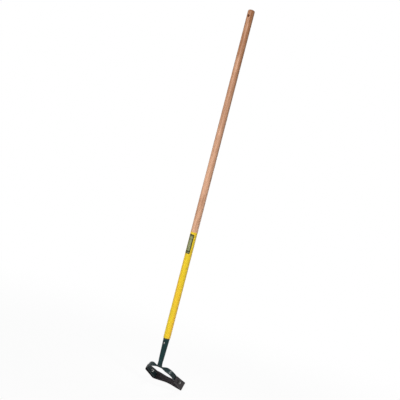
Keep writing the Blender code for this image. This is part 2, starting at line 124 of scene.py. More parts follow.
class HoeHandleSettings(bpy.types.PropertyGroup):
    butt_diameter: length_setting("Butt diameter", 0.0284, "Thickness of the pole at its upper end")
    foot_diameter: length_setting("Foot diameter", 0.0292, "Thickness of the pole where it meets the socket")
    butt_dome: length_setting("Butt dome", 0.007, "Height of the rounded upper end")
    hole_diameter: length_setting("Hanging hole", 0.010, "Width of the hole that the hoe hangs by")
    hole_cove: length_setting("Hole cove", 0.0007, "Radius of the coved groove round the hanging hole")
    lacquer_length: length_setting("Lacquer length", 0.4455, "How far the lacquer reaches above the socket")
    lacquer_fade: length_setting("Lacquer fade", 0.003, "Height over which the lacquer's upper edge fades")
    ring_spacing: length_setting("Ring spacing", 0.0021, "Distance between the wood's growth rings")
    wood_pale: colour_setting("Pale wood", (0.730, 0.424, 0.272), "Colour of the wood low on the pole")
    wood_warm: colour_setting("Warm wood", (0.290, 0.105, 0.030), "Colour of the wood near the butt end")
    wood_streak: colour_setting("Streaks", (0.27, 0.105, 0.038), "Colour of the darker streaks in the wood")
    lacquer: colour_setting("Lacquer", (0.80, 0.575, 0.012), "Colour of the lacquer")
    lacquer_warm: colour_setting("Warm lacquer", (0.86, 0.52, 0.022), "Colour where the wood shows through")


class HoeStickerSettings(bpy.types.PropertyGroup):
    length: length_setting("Length", 0.080, "Length of the sticker along the handle")
    width: length_setting("Width", 0.021, "Width of the sticker round the handle")
    thickness: length_setting("Thickness", 0.00025, "Thickness of the film")
    corner: length_setting("Corner radius", 0.0022, "Radius of the sticker's corners")
    drop: length_setting("Drop", 0.0095, "Distance from the lacquer's upper edge down to the sticker")
    turn: angle_setting("Turn", 8, "How far round the handle the sticker sits from its back line")
    border: length_setting("Border", 0.0042, "Width of the dark border round the panel")
    ground: colour_setting("Ground", (0.034, 0.036, 0.003), "Colour of the border and the bars")
    panel: colour_setting("Panel", (0.255, 0.275, 0.125), "Colour of the plain panel")


class HoeSocketSettings(bpy.types.PropertyGroup):
    end_diameter: length_setting("End diameter", 0.0202, "Outer diameter at the socket's lower end")
    wall: length_setting("Wall", 0.0016, "Thickness of the socket's steel")
    edge: length_setting("Edge rounding", 0.0006, "Rounding of the socket's two rims")
    bead: length_setting("Weld bead", 0.0022, "Thickness of the weld between the socket and the neck")
    bead_ripples: bpy.props.IntProperty(
        name="Weld ripples", description="Number of ripples round the weld", default=22, min=3
    )
    screw_drop: length_setting("Screw drop", 0.020, "Distance from the rim down to the screw")
    screw_turn: angle_setting("Screw turn", 12, "How far round the handle the screw sits from its back line")
    screw_head: length_setting("Screw head", 0.0076, "Diameter of the screw's head")
    screw_rise: length_setting("Screw rise", 0.0022, "Height of the screw's head")
    paint: colour_setting("Paint", (0.0035, 0.0225, 0.0235), "Colour of the enamel on socket and yoke")
    paint_worn: colour_setting("Worn paint", (0.045, 0.070, 0.070), "Colour of the enamel's rubbed edges")
    paint_soiled: colour_setting("Soiled paint", (0.016, 0.021, 0.023), "Colour of the dull film low down")
    wear: share_setting("Wear", 0.45, "How much the enamel's edges are rubbed")


class HoeYokeSettings(bpy.types.PropertyGroup):
    neck_length: length_setting("Neck length", 0.028, "Length of the round neck below the socket")
    neck_diameter: length_setting("Neck diameter", 0.019, "Diameter of the round neck below the socket")
    neck_flare: length_setting("Neck flare", 0.015, "Half the width of the neck where it flows into the bow")
    neck_foot: length_setting("Neck foot", 0.009, "Thickness of the neck where it flows into the bow")
    shank_insert: length_setting("Shank insert", 0.028, "How far the shank goes up into the socket")
    bow_angle: angle_setting("Bow angle", 46.2, "Angle between the bow and the handle")
    arm_bend: angle_setting("Arm bend", 10.8, "How far the arms bend forward below the bow")
    height: length_setting("Height", 0.0678, "Distance from the bow down to the pivots")
    arm_spacing: length_setting("Arm spacing", 0.140, "Distance between the middles of the arms")
    bow_radius: length_setting("Bow radius", 0.043, "Radius of the bow's two shoulders")
    bow_width: length_setting("Bow width", 0.0056, "Width of the bow at its middle")
    bow_thickness: length_setting("Bow thickness", 0.0065, "Thickness of the bow at its middle")
    arm_width: length_setting("Arm width", 0.021, "Width of the arms")
    arm_growth: length_setting("Arm growth", 0.035, "Length of bow over which it widens into an arm")
    arm_thickness: length_setting("Arm thickness", 0.0055, "Thickness of the arms")
    arm_reach: length_setting("Arm reach", 0.04643, "Distance from the pivots down to the arms' ends")
    arm_corner: length_setting("Arm corner", 0.003, "Rounding of the arms' ends")
    edge: length_setting("Edge rounding", 0.0016, "Rounding along the arms' edges")
    bolt_hole: length_setting("Bolt hole", 0.0066, "Diameter of the holes in the arms")


class HoeBladeSettings(bpy.types.PropertyGroup):
    lean: angle_setting("Lean", 5, "How far the blade rests forward of the arms")
    depth: length_setting("Depth", 0.0487, "Distance from the pivots down to the middle of the blade's floor")
    ear_height: length_setting("Ear height", 0.0355, "Distance from the pivots up to the ears' tops")
    ear_width: length_setting("Ear width", 0.036, "Width of the ears at their foot")
    ear_top_width: length_setting("Ear top width", 0.0265, "Width that the ears taper to at their tops")
    ear_corner: length_setting("Ear corner", 0.006, "Radius of the ears' corners")
    ear_hole: length_setting("Ear hole", 0.0092, "Diameter of the holes in the ears")
    width: length_setting("Width", 0.0245, "Width of the blade at its middle")
    thickness: length_setting("Thickness", 0.0025, "Thickness of the blade's steel")
    bend_radius: length_setting("Bend radius", 0.0052, "Radius of the two bends")
    bevel: length_setting("Ground edge", 0.006, "Width of the ground bevels")
    edge: length_setting("Edge thickness", 0.0005, "Thickness left at the cutting edges")
    steel: colour_setting("Steel", (0.034, 0.027, 0.030), "Colour of the hardened steel")
    scale: colour_setting("Scale", (0.011, 0.0095, 0.010), "Colour of the darker oxide on the steel")
    ground: colour_setting("Ground steel", (0.20, 0.195, 0.19), "Colour of the ground edges")


class HoePivotSettings(bpy.types.PropertyGroup):
    bolt_diameter: length_setting("Bolt diameter", 0.006, "Diameter of the pivot bolts")
    head_flats: length_setting("Head across flats", 0.010, "Width of the heads and nuts across their flats")
    thread_pitch: length_setting("Thread pitch", 0.001, "Distance from one turn of the thread to the next")
    thread_depth: length_setting("Thread depth", 0.0005, "Depth of the thread")
    thread_length: length_setting("Thread length", 0.011, "How far the thread reaches from the bolt's end")
    collar_height: length_setting("Collar height", 0.0018, "Height of the round collar on each lock nut")
    collar_diameter: length_setting("Collar diameter", 0.0094, "Diameter of the collar on each lock nut")
    zinc: colour_setting("Zinc", (0.21, 0.21, 0.20), "Colour of the zinc on the bolts and nuts")
    zinc_dull: colour_setting("Dull zinc", (0.105, 0.105, 0.098), "Colour of the duller patches in the zinc")
    ring: colour_setting("Locking ring", (0.72, 0.73, 0.69), "Colour of the nylon rings in the nuts")


class HoeStageSettings(bpy.types.PropertyGroup):
    camera_turn: angle_setting("Camera turn", 34.2, "How far round from the handle's back the camera is")
    camera_roll: angle_setting("Camera roll", 14.53, "How far the handle leans in the picture")
    camera_tilt: angle_setting("Camera tilt", 1.3, "How far the handle's upper end comes towards the camera")
    camera_distance: length_setting("Camera distance", 3.2155, "Distance along the view to the bow")
    focal_length: number_setting("Focal length", 71.1, "Focal length of the lens, in millimetres", min=1)
    floor_shade: share_setting("Floor shade", 0.82, "Grey of the floor, before the lamps light it")
    world_light: share_setting("World light", 0.10, "Strength of the even light from all round")
    key_power: power_setting("Key lamp", 98, "Power of the lamp to the left of the camera")
    head_power: power_setting("Head lamp", 290, "Power of the narrow lamp on the head, high to the right")
    head_spread: angle_setting("Head lamp's spread", 12, "Width of the narrow lamp's cone")
    back_power: power_setting("Back lamp", 105, "Power of the lamp behind the hoe")


# Building meshes and node trees


def add_object(name, data):
    thing = bpy.data.objects.new(name, data)
    bpy.context.scene.collection.objects.link(thing)
    return thing


def finished_mesh(name, shape):
    """The mesh of a bmesh, which is freed."""
    mesh = bpy.data.meshes.new(name)
    shape.to_mesh(mesh)
    shape.free()
    return mesh


def primitive_mesh(name, make, **sizes):
    """A mesh from one of bmesh's primitives, such as its cube or its cone."""
    shape = bmesh.new()
    make(shape, **sizes)
    return finished_mesh(name, shape)


def evaluated_mesh(piece):
    bpy.context.view_layer.update()
    return bpy.data.meshes.new_from_object(piece.evaluated_get(bpy.context.evaluated_depsgraph_get()))


def feed(tree, socket, value):
    """Sets a node's input to a value, or links it if the value is another node's output."""
    if isinstance(value, bpy.types.NodeSocket):
        tree.links.new(value, socket)
    else:
        socket.default_value = value


def put(tree, kind, inputs=None, output=0, **settings):
    """Adds a node with its settings and inputs, and returns one of its outputs."""
    node = tree.nodes.new(kind)
    for key, value in settings.items():
        setattr(node, key, value)
    for key, value in (inputs or {}).items():
        feed(tree, node.inputs[key], value)
    return node.outputs[output]


def calc(tree, operation, *values):
    return put(tree, "ShaderNodeMath", dict(enumerate(values)), operation=operation)


def vector_calc(tree, operation, *values):
    return put(tree, "ShaderNodeVectorMath", dict(enumerate(values)), operation=operation)


def scaled(tree, vector, amount):
    return put(tree, "ShaderNodeVectorMath", {0: vector, "Scale": amount}, operation="SCALE")


def clamped(tree, value):
    return put(tree, "ShaderNodeClamp", {0: value})


def new_geometry_tree(name, inputs):
    """A Geometry Nodes tree with those inputs and a material, and the sockets that hold them."""
    tree = bpy.data.node_groups.new(name, "GeometryNodeTree")
    for label, kind in {"Geometry": "Geometry", **inputs, "Material": "Material"}.items():
        tree.interface.new_socket(label, in_out="INPUT", socket_type="NodeSocket" + kind)
    tree.interface.new_socket("Geometry", in_out="OUTPUT", socket_type="NodeSocketGeometry")
    return tree, tree.nodes.new("NodeGroupInput").outputs


def end_tree(tree, geometry, material):
    solid = put(tree, "GeometryNodeRealizeInstances", {"Geometry": geometry})
    finished = put(tree, "GeometryNodeSetMaterial", {"Geometry": solid, "Material": material})
    tree.links.new(finished, tree.nodes.new("NodeGroupOutput").inputs[0])
    return tree


def run_tree(tree, mesh, inputs):
    """Runs a tree on a mesh with those inputs, and returns the plain mesh that comes out."""
    carrier = add_object(tree.name, mesh)
    modifier = carrier.modifiers.new(tree.name, "NODES")
    modifier.node_group = tree
    for item in tree.interface.items_tree:
        if item.in_out == "INPUT" and item.name in inputs:
            modifier[item.identifier] = inputs[item.name]
    result = evaluated_mesh(carrier)
    bpy.data.objects.remove(carrier)
    return result


def divided(tree, number, size):
    """How many times a size goes into a whole number, and what is left over."""
    times = calc(tree, "FLOOR", calc(tree, "DIVIDE", calc(tree, "ADD", number, 0.5), size))
    return times, calc(tree, "SUBTRACT", number, calc(tree, "MULTIPLY", times, size))


def grid_steps(tree, rows, columns):
    """A grid whose points run along its rows, and each point's row and column."""
    grid = put(tree, "GeometryNodeMeshGrid", {"Vertices X": rows, "Vertices Y": columns})
    return grid, *divided(tree, put(tree, "GeometryNodeInputIndex"), columns)


def skinned(tree, grid, place):
    """The grid with its points moved to their places, and joined where they meet."""
    skin = put(tree, "GeometryNodeSetPosition", {"Geometry": grid, "Position": place})
    return put(tree, "GeometryNodeMergeByDistance", {"Geometry": skin, "Distance": WELD_DISTANCE})


def circle(tree, points, radius):
    sizes = {"Resolution": points, "Radius": radius}
    return put(tree, "GeometryNodeCurvePrimitiveCircle", sizes, mode="RADIUS")


def transformed(tree, geometry, **change):
    return put(tree, "GeometryNodeTransform", {"Geometry": geometry, **change})


def swept_bar_tree():
    """Skins a bar over a path whose points hold its section's directions, half sizes and corners."""
    tree, given = new_geometry_tree("swept_bar", {"Corner Points": "Float"})
    path = given["Geometry"]
    count = put(tree, "GeometryNodeAttributeDomainSize", {"Geometry": path}, output="Point Count")
    around = calc(tree, "MULTIPLY", given["Corner Points"], 4.0)
    grid, row, column = grid_steps(tree, count, calc(tree, "ADD", around, 1.0))
    corner, step = divided(tree, calc(tree, "FLOORED_MODULO", column, around), given["Corner Points"])
    share = calc(tree, "DIVIDE", step, calc(tree, "SUBTRACT", given["Corner Points"], 1.0))
    turn = calc(tree, "MULTIPLY", calc(tree, "ADD", corner, share), math.pi / 2)
    middle = calc(tree, "MULTIPLY", calc(tree, "ADD", corner, 0.5), math.pi / 2)

    def on_path(field):
        inputs = {"Geometry": path, "Value": field, "Index": row}
        return put(tree, "GeometryNodeSampleIndex", inputs, "Value", data_type="FLOAT_VECTOR")

    def stored(name):
        return on_path(put(tree, "GeometryNodeInputNamedAttribute", {"Name": name}, data_type="FLOAT_VECTOR"))

    halves = put(tree, "ShaderNodeSeparateXYZ", {0: stored("halves")}).node.outputs
    corners = put(tree, "ShaderNodeSeparateXYZ", {0: stored("corners")}).node.outputs
    place = on_path(put(tree, "GeometryNodeInputPosition"))
    for axis, way, wave in ((0, "across", "COSINE"), (1, "out", "SINE")):
        side = calc(tree, "SIGN", calc(tree, wave, middle))
        flat = calc(tree, "MULTIPLY", side, calc(tree, "SUBTRACT", halves[axis], corners[axis]))
        bend = calc(tree, "MULTIPLY", corners[axis], calc(tree, wave, turn))
        place = vector_calc(tree, "ADD", place, scaled(tree, stored(way), calc(tree, "ADD", flat, bend)))
    return end_tree(tree, skinned(tree, grid, place), given["Material"])


def threaded_rod_tree():
    """A bolt's shank along Z from its end at zero, with a cut thread that runs out at a height.

    The first and the last row of the grid lie on the axis and close the ends.
    """
    numbers = ("Length", "Diameter", "Pitch", "Depth", "Thread Length", "Rings", "Around")
    tree, given = new_geometry_tree("threaded_rod", dict.fromkeys(numbers, "Float"))
    flank_steepness = 2.6
    radius = calc(tree, "DIVIDE", given["Diameter"], 2.0)
    grid, row, column = grid_steps(tree, given["Rings"], calc(tree, "ADD", given["Around"], 1.0))
    turns = calc(tree, "DIVIDE", calc(tree, "FLOORED_MODULO", column, given["Around"]), given["Around"])
    last = calc(tree, "SUBTRACT", given["Rings"], 3.0)
    share = clamped(tree, calc(tree, "DIVIDE", calc(tree, "SUBTRACT", row, 1.0), last))
    height = calc(tree, "MULTIPLY", share, given["Length"])
    phase = calc(tree, "FRACT", calc(tree, "SUBTRACT", calc(tree, "DIVIDE", height, given["Pitch"]), turns))
    ridge = calc(tree, "ABSOLUTE", calc(tree, "SUBTRACT", phase, 0.5))
    ridge = calc(tree, "MULTIPLY", ridge, flank_steepness)
    groove = calc(tree, "MULTIPLY", calc(tree, "MINIMUM", ridge, 1.0), given["Depth"])
    run_out = calc(tree, "SUBTRACT", given["Thread Length"], height)
    run_out = clamped(tree, calc(tree, "DIVIDE", run_out, given["Pitch"]))
    cut_radius = calc(tree, "SUBTRACT", radius, calc(tree, "MULTIPLY", groove, run_out))
    tip = calc(tree, "ADD", height, calc(tree, "SUBTRACT", radius, given["Depth"]))
    cut_radius = calc(tree, "MINIMUM", cut_radius, tip)
    cut_radius = calc(tree, "MULTIPLY", calc(tree, "GREATER_THAN", row, 0.5), cut_radius)
    before_last = calc(tree, "LESS_THAN", row, calc(tree, "ADD", last, 1.5))
    cut_radius = calc(tree, "MULTIPLY", before_last, cut_radius)
    angle = calc(tree, "MULTIPLY", turns, math.tau)
    across = {
        axis: calc(tree, "MULTIPLY", cut_radius, calc(tree, wave, angle))
        for axis, wave in (("X", "COSINE"), ("Y", "SINE"))
    }
    place = put(tree, "ShaderNodeCombineXYZ", {**across, "Z": height})
    return end_tree(tree, skinned(tree, grid, place), given["Material"])


def weld_bead_tree():
    """A rippled ring of weld about Z."""
    numbers = ("Radius", "Thickness", "Ripples", "Height")
    tree, given = new_geometry_tree("weld_bead", {**dict.fromkeys(numbers, "Float"), "Steps": "Int"})
    ripple_depth = 0.16
    ripple_fullness = 0.6
    drift_depth = 0.05
    drifts = 3
    section_points = 14
    loop = circle(tree, given["Steps"], given["Radius"])
    turns = calc(tree, "DIVIDE", put(tree, "GeometryNodeInputIndex"), given["Steps"])
    ripple = calc(tree, "FRACT", calc(tree, "MULTIPLY", turns, given["Ripples"]))
    swell = calc(tree, "SINE", calc(tree, "MULTIPLY", ripple, math.pi))
    swell = calc(tree, "MULTIPLY", calc(tree, "POWER", swell, ripple_fullness), ripple_depth)
    drift = calc(tree, "SINE", calc(tree, "MULTIPLY", turns, math.tau * drifts))
    amount = calc(tree, "ADD", swell, calc(tree, "MULTIPLY", drift, drift_depth))
    amount = calc(tree, "ADD", amount, 1.0 - ripple_depth)
    loop = put(tree, "GeometryNodeSetCurveRadius", {"Curve": loop, "Radius": amount})
    section = circle(tree, section_points, calc(tree, "DIVIDE", given["Thickness"], 2.0))
    along = {"Curve": loop, "Profile Curve": section, "Scale": put(tree, "GeometryNodeInputRadius")}
    bead = put(tree, "GeometryNodeCurveToMesh", along)
    lift = put(tree, "ShaderNodeCombineXYZ", {"Z": given["Height"]})
    return end_tree(tree, transformed(tree, bead, Translation=lift), given["Material"])


def both_ends_tree():
    """Puts a copy of one pivot's piece, made along Z for the right end, at each end of the pivot axis."""
    tree, given = new_geometry_tree("both_ends", {"Pivot": "Vector", "Arm Angle": "Float"})
    ends = put(tree, "GeometryNodeMeshLine", {"Count": 2, "Offset": (0.0, 0.0, 0.0)})
    half_turn = calc(tree, "MULTIPLY", put(tree, "GeometryNodeInputIndex"), math.pi)
    half_turn = put(tree, "ShaderNodeCombineXYZ", {"Z": half_turn})
    upright = transformed(tree, given["Geometry"], Rotation=(0.0, math.pi / 2, 0.0))
    spread = {"Points": ends, "Instance": upright, "Rotation": half_turn}
    copies = put(tree, "GeometryNodeInstanceOnPoints", spread)
    tilt = put(tree, "ShaderNodeCombineXYZ", {"X": given["Arm Angle"]})
    placed = transformed(tree, copies, Rotation=tilt, Translation=given["Pivot"])
    return end_tree(tree, placed, given["Material"])


def tree_named(name):
    """The Geometry Nodes tree of that name, built the first time it is asked for."""
    builders = {
        "swept_bar": swept_bar_tree,
        "threaded_rod": threaded_rod_tree,
        "weld_bead": weld_bead_tree,
        "both_ends": both_ends_tree,
    }
    return bpy.data.node_groups.get(name) or builders[name]()


def clean_mesh(mesh, sharp_angle=SHARP_ANGLE):
    """Joins doubled points, turns all faces outwards and shades everything smooth but the real edges."""
    shape = bmesh.new()
    shape.from_mesh(mesh)
    bmesh.ops.remove_doubles(shape, verts=shape.verts, dist=WELD_DISTANCE)
    bmesh.ops.dissolve_degenerate(shape, dist=WELD_DISTANCE / 2, edges=shape.edges)
    bmesh.ops.recalc_face_normals(shape, faces=shape.faces)
    shape.to_mesh(mesh)
    shape.free()
    mesh.shade_smooth()
    mesh.set_sharp_from_angle(angle=sharp_angle)
    return mesh


def swept_mesh(rings, material, corner_points=6):
    """Skins rings of (centre, across, out, halves, corners) into one mesh with the swept_bar tree."""
    path = bpy.data.meshes.new("path")
    path.from_pydata([ring[0] for ring in rings], [(i, i + 1) for i in range(len(rings) - 1)], [])
    for name, column in (("across", 1), ("out", 2), ("halves", 3), ("corners", 4)):
        values = [number for ring in rings for number in (*ring[column], 0)[:3]]
        path.attributes.new(name, "FLOAT_VECTOR", "POINT").data.foreach_set("vector", values)
    inputs = {"Corner Points": float(corner_points), "Material": material}
    return clean_mesh(run_tree(tree_named("swept_bar"), path, inputs))


def round_ring(height, across, deep):
    """An oval ring about Z, with its half sizes along X and Y."""
    return Vector((0, 0, height)), Vector((1, 0, 0)), Vector((0, 1, 0)), (across, deep), (across, deep)


def turned_mesh(profile, material, corner_points=13):
    """Turns a profile of (radius, height) points about Z."""
    rings = [round_ring(height, radius, radius) for radius, height in profile]
    return swept_mesh(rings, material, corner_points)


def combine(piece, mesh, operation="DIFFERENCE"):
    """Cuts a mesh out of a piece, or adds it, and leaves one plain mesh on the piece."""
    tool = add_object("tool", mesh)
    modifier = piece.modifiers.new("combine", "BOOLEAN")
    modifier.object = tool
    modifier.operation = operation
    modifier.solver = "EXACT"
    result = evaluated_mesh(piece)
    piece.modifiers.clear()
    piece.data = result
    bpy.data.objects.remove(tool)


def moved(mesh, matrix):
    mesh.transform(matrix)
    return mesh


def arc(centre_radius, centre_height, radius, start, stop, count):
    """Points (radius, height) on an arc, with angles from the outward direction, in degrees."""
    points = []
    for i in range(count + 1):
        turn = math.radians(start + (stop - start) * i / count)
        points.append((centre_radius + radius * math.cos(turn), centre_height + radius * math.sin(turn)))
    return points


def dome(radius, top, rise, count):
    """Points (radius, height) down a dome, from its middle at the top to its rim."""
    turns = [math.pi / 2 * i / count for i in range(count + 1)]
    return [(radius * math.sin(turn), top - rise * (1 - math.cos(turn))) for turn in turns]


def smooth_step(share):
    share = min(max(share, 0), 1)
    return share * share * (3 - 2 * share)


def between(low, high, share):
    return low + (high - low) * share


def end_inset(to_end, rounding):
    """How far a side draws in at a distance from a rounded end."""
    if to_end >= rounding:
        return 0
    return rounding - math.sqrt(max(rounding**2 - (rounding - to_end) ** 2, 0))


def u_outline(half_width, radius, flat_level, end_level, end_rounding, parts):
    """A U in the XZ plane from its left end to its right, as (x, z, distance from its middle)."""
    flat_parts, corner_parts, leg_parts = parts
    sign = 1 if end_level > flat_level else -1
    points = [((half_width - radius) * i / flat_parts, flat_level) for i in range(flat_parts)]
    for i in range(corner_parts + 1):
        turn = math.pi / 2 * i / corner_parts
        x = half_width - radius + radius * math.sin(turn)
        points.append((x, flat_level + sign * radius * (1 - math.cos(turn))))
    leg_start = flat_level + sign * radius
    leg_end = end_level - sign * end_rounding
    points += [(half_width, between(leg_start, leg_end, i / leg_parts)) for i in range(1, leg_parts + 1)]
    end_parts = 8
    for i in range(1, end_parts + 1):
        turn = math.pi / 2 * i / end_parts
        points.append((half_width, leg_end + sign * end_rounding * math.sin(turn)))
    distance = 0
    half = []
    for (x, z), (last_x, last_z) in zip(points, points[:1] + points[:-1]):
        distance += math.hypot(x - last_x, z - last_z)
        half.append((x, z, distance))
    return [(-x, z, along) for x, z, along in reversed(half[1:])] + half


def outline_tangents(outline):
    tangents = []
    for i in range(len(outline)):
        before = outline[max(i - 1, 0)]
        after = outline[min(i + 1, len(outline) - 1)]
        tangents.append(Vector((after[0] - before[0], after[1] - before[1])).normalized())
    return tangents


def dress(piece, body, slot, *nodes):
    mesh = piece.data
    mesh.materials.clear()
    mesh.materials.append(finish_named(slot))
    mesh.polygons.foreach_set("material_index", [0] * len(mesh.polygons))
    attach(piece, body)
    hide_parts(*nodes)


# Finishes


def new_finish(name):
    material = bpy.data.materials.new(name)
    material.use_nodes = True
    tree = material.node_tree
    return material, tree, tree.nodes["Principled BSDF"]


def object_place(tree):
    return put(tree, "ShaderNodeTexCoord", output="Object")


def level_of(tree, place):
    return put(tree, "ShaderNodeSeparateXYZ", {0: place}, output="Z")


def stored_share(tree, name):
    return put(tree, "ShaderNodeAttribute", attribute_name=name, output="Fac")


def stretched(tree, place, scale, rotation=(0, 0, 0), location=(0, 0, 0)):
    inputs = {"Vector": place, "Scale": scale, "Rotation": rotation, "Location": location}
    return put(tree, "ShaderNodeMapping", inputs)


def speckle(tree, place, scale, detail=3.0, roughness=0.55):
    inputs = {"Vector": place, "Scale": scale, "Detail": detail, "Roughness": roughness}
    return put(tree, "ShaderNodeTexNoise", inputs)


def ramp(tree, factor, *stops):
    """A colour ramp through (position, colour) stops."""
    node = tree.nodes.new("ShaderNodeValToRGB")
    feed(tree, node.inputs[0], factor)
    elements = node.color_ramp.elements
    while len(elements) < len(stops):
        elements.new(1)
    for element, (position, colour) in zip(elements, stops):
        element.position = position
        element.color = (*colour, 1)
    return node.outputs[0]


def steps(tree, value, low, high, to_low=0.0, to_high=1.0):
    """The value from low to high, spread over another range and held at both ends."""
    return put(
        tree,
        "ShaderNodeMapRange",
        {"Value": value, "From Min": low, "From Max": high, "To Min": to_low, "To Max": to_high},
        interpolation_type="SMOOTHSTEP",
    )


def blend_colours(tree, factor, first, second, way="MIX"):
    node = tree.nodes.new("ShaderNodeMix")
    node.data_type = "RGBA"
    node.blend_type = way
    feed(tree, node.inputs[0], factor)
    for socket, colour in ((node.inputs[6], first), (node.inputs[7], second)):
        feed(tree, socket, colour if isinstance(colour, bpy.types.NodeSocket) else (*colour, 1))
    return node.outputs[2]


def overlay(tree, colour, field, low, high, most, layer):
    """The colour under a layer that grows from none to the most as the field goes from low to high."""
    return blend_colours(tree, steps(tree, field, low, high, 0.0, most), colour, layer)


def cover(tree, shader, colour, rough, relief=None, depth=0.0, strength=1.0):
    """Gives the shader its colour and roughness, and the relief as bumps of that depth."""
    tree.links.new(colour, shader.inputs["Base Color"])
    tree.links.new(rough, shader.inputs["Roughness"])
    if relief is not None:
        bumps = put(tree, "ShaderNodeBump", {"Strength": strength, "Distance": depth, "Height": relief})
        tree.links.new(bumps, shader.inputs["Normal"])


def shades(colour, amount):
    return tuple(min(channel * amount, 1) for channel in colour)


def mixed(first, second, share):
    return tuple(between(low, high, share) for low, high in zip(first, second))


def ash_wood_finish(look):
    """Ash with rings, pores and warm streaks, under clear varnish above and yellow lacquer below."""
    material, tree, shader = new_finish("ash_wood_finish")
    place = object_place(tree)
    level = level_of(tree, place)
    pith_tilt = (0.006, -0.004, 0)
    pith_offset = (0.046, 0.019, 0)
    # The wave texture's rings are this far apart at a scale of 1
    wave_spacing = math.tau / 20
    rings = put(
        tree,
        "ShaderNodeTexWave",
        {
            "Vector": stretched(tree, place, (1, 1, 0.05), pith_tilt, pith_offset),
            "Scale": wave_spacing / look.ring_spacing,
            "Distortion": 5.0,
            "Detail": 3.0,
            "Detail Scale": 0.22,
            "Detail Roughness": 0.6,
        },
        wave_type="RINGS",
        rings_direction="Z",
    )

    def along_grain(length_scale, scale, detail, roughness):
        return speckle(tree, stretched(tree, place, (1, 1, length_scale)), scale, detail, roughness)

    pores = along_grain(0.035, 1500, 2, 0.5)
    fibres = along_grain(0.012, 420, 4, 0.6)
    patches = along_grain(0.11, 34, 3, 0.55)
    bands = along_grain(0.10, 110, 3, 0.6)
    lacquer_top = RIM_Z + look.lacquer_length
    height = put(tree, "ShaderNodeMapRange", {"Value": level, "From Min": lacquer_top, "From Max": BUTT_Z})
    warmth_at = ((0.0, 0.0), (0.36, 0.26), (0.64, 0.60), (0.92, 1.0))
    colours = [(at, mixed(look.wood_pale, look.wood_warm, warmth)) for at, warmth in warmth_at]
    colour = ramp(tree, height, *colours)
    layers = (
        (rings, 0.42, 0.96, 0.42, look.wood_streak),
        (patches, 0.47, 0.75, 0.55, look.wood_streak),
        (bands, 0.50, 0.70, 0.60, look.wood_streak),
        (bands, 0.50, 0.32, 0.40, shades(look.wood_pale, 1.2)),
        (fibres, 0.35, 0.70, 0.30, shades(look.wood_pale, 1.25)),
        (pores, 0.60, 0.72, 0.38, shades(look.wood_streak, 0.55)),
    )
    for field, low, high, most, layer in layers:
        colour = overlay(tree, colour, field, low, high, most, layer)

    raggedness = look.lacquer_fade * 1.6
    lacquer_opacity = 0.97
    ragged = calc(tree, "MULTIPLY_ADD", fibres, raggedness, level)
    edge = lacquer_top + raggedness / 2
    coated = steps(tree, ragged, edge + look.lacquer_fade / 2, edge - look.lacquer_fade / 2)
    yellow = overlay(tree, look.lacquer, patches, 0.35, 0.68, 1.0, look.lacquer_warm)
    yellow = overlay(tree, yellow, rings, 0.5, 1.0, 0.10, shades(look.lacquer_warm, 0.6))
    colour = blend_colours(tree, calc(tree, "MULTIPLY", coated, lacquer_opacity), colour, yellow)
    worn = calc(tree, "MULTIPLY_ADD", fibres, 0.22, 0.34)
    smooth = calc(tree, "MULTIPLY_ADD", patches, 0.16, 0.22)
    rough = put(tree, "ShaderNodeMix", {"Factor": coated, "A": worn, "B": smooth})
    ridges = calc(tree, "MULTIPLY", rings, 0.25)
    grain = calc(tree, "MULTIPLY_ADD", steps(tree, pores, 0.5, 0.75), -1.0, ridges)
    buried = calc(tree, "MULTIPLY", grain, calc(tree, "MULTIPLY_ADD", coated, -0.8, 1.0))
    cover(tree, shader, colour, rough, buried, 0.00012, 0.6)
    shader.inputs["Specular IOR Level"].default_value = 0.3
    return material


def sticker_finish(look):
    """A dark olive film with a paler plain panel and plain bars, laid out on the sticker's own map."""
    material, tree, shader = new_finish("sticker_finish")
    sheet = put(tree, "ShaderNodeUVMap", uv_map="sheet")
    across, along, _ = put(tree, "ShaderNodeSeparateXYZ", {0: sheet}).node.outputs
    speck = speckle(tree, object_place(tree), 900, 3)
    soil = speckle(tree, stretched(tree, object_place(tree), (1, 1, 0.3)), 160, 3)
    blur = 0.00018
    panel_corner = 0.0025
    inside_across = calc(tree, "SUBTRACT", look.width / 2 - look.border, calc(tree, "ABSOLUTE", across))
    inside_along = calc(tree, "SUBTRACT", look.length / 2 - look.border, calc(tree, "ABSOLUTE", along))
    inside = calc(tree, "SMOOTH_MIN", inside_across, inside_along, panel_corner)
    panel = steps(tree, inside, -blur, blur)
    bars = ((0.0345, 0.0020, 0.6), (0.020, 0.0014, 0.45), (-0.0195, 0.0010, 0.5), (-0.0305, 0.0034, 0.95))
    for level, half_height, strength in bars:
        apart = calc(tree, "ABSOLUTE", calc(tree, "SUBTRACT", along, level))
        beyond = calc(tree, "SUBTRACT", apart, half_height)
        panel = calc(tree, "MULTIPLY", panel, steps(tree, beyond, -blur, blur, 1.0 - strength, 1.0))
    colour = blend_colours(tree, panel, look.ground, look.panel)
    colour = overlay(tree, colour, soil, 0.45, 0.8, 0.35, shades(look.ground, 1.8))
    cover(tree, shader, colour, calc(tree, "MULTIPLY_ADD", speck, 0.25, 0.26), speck, 0.00003, 0.4)
    shader.inputs["Specular IOR Level"].default_value = 0.3
    return material


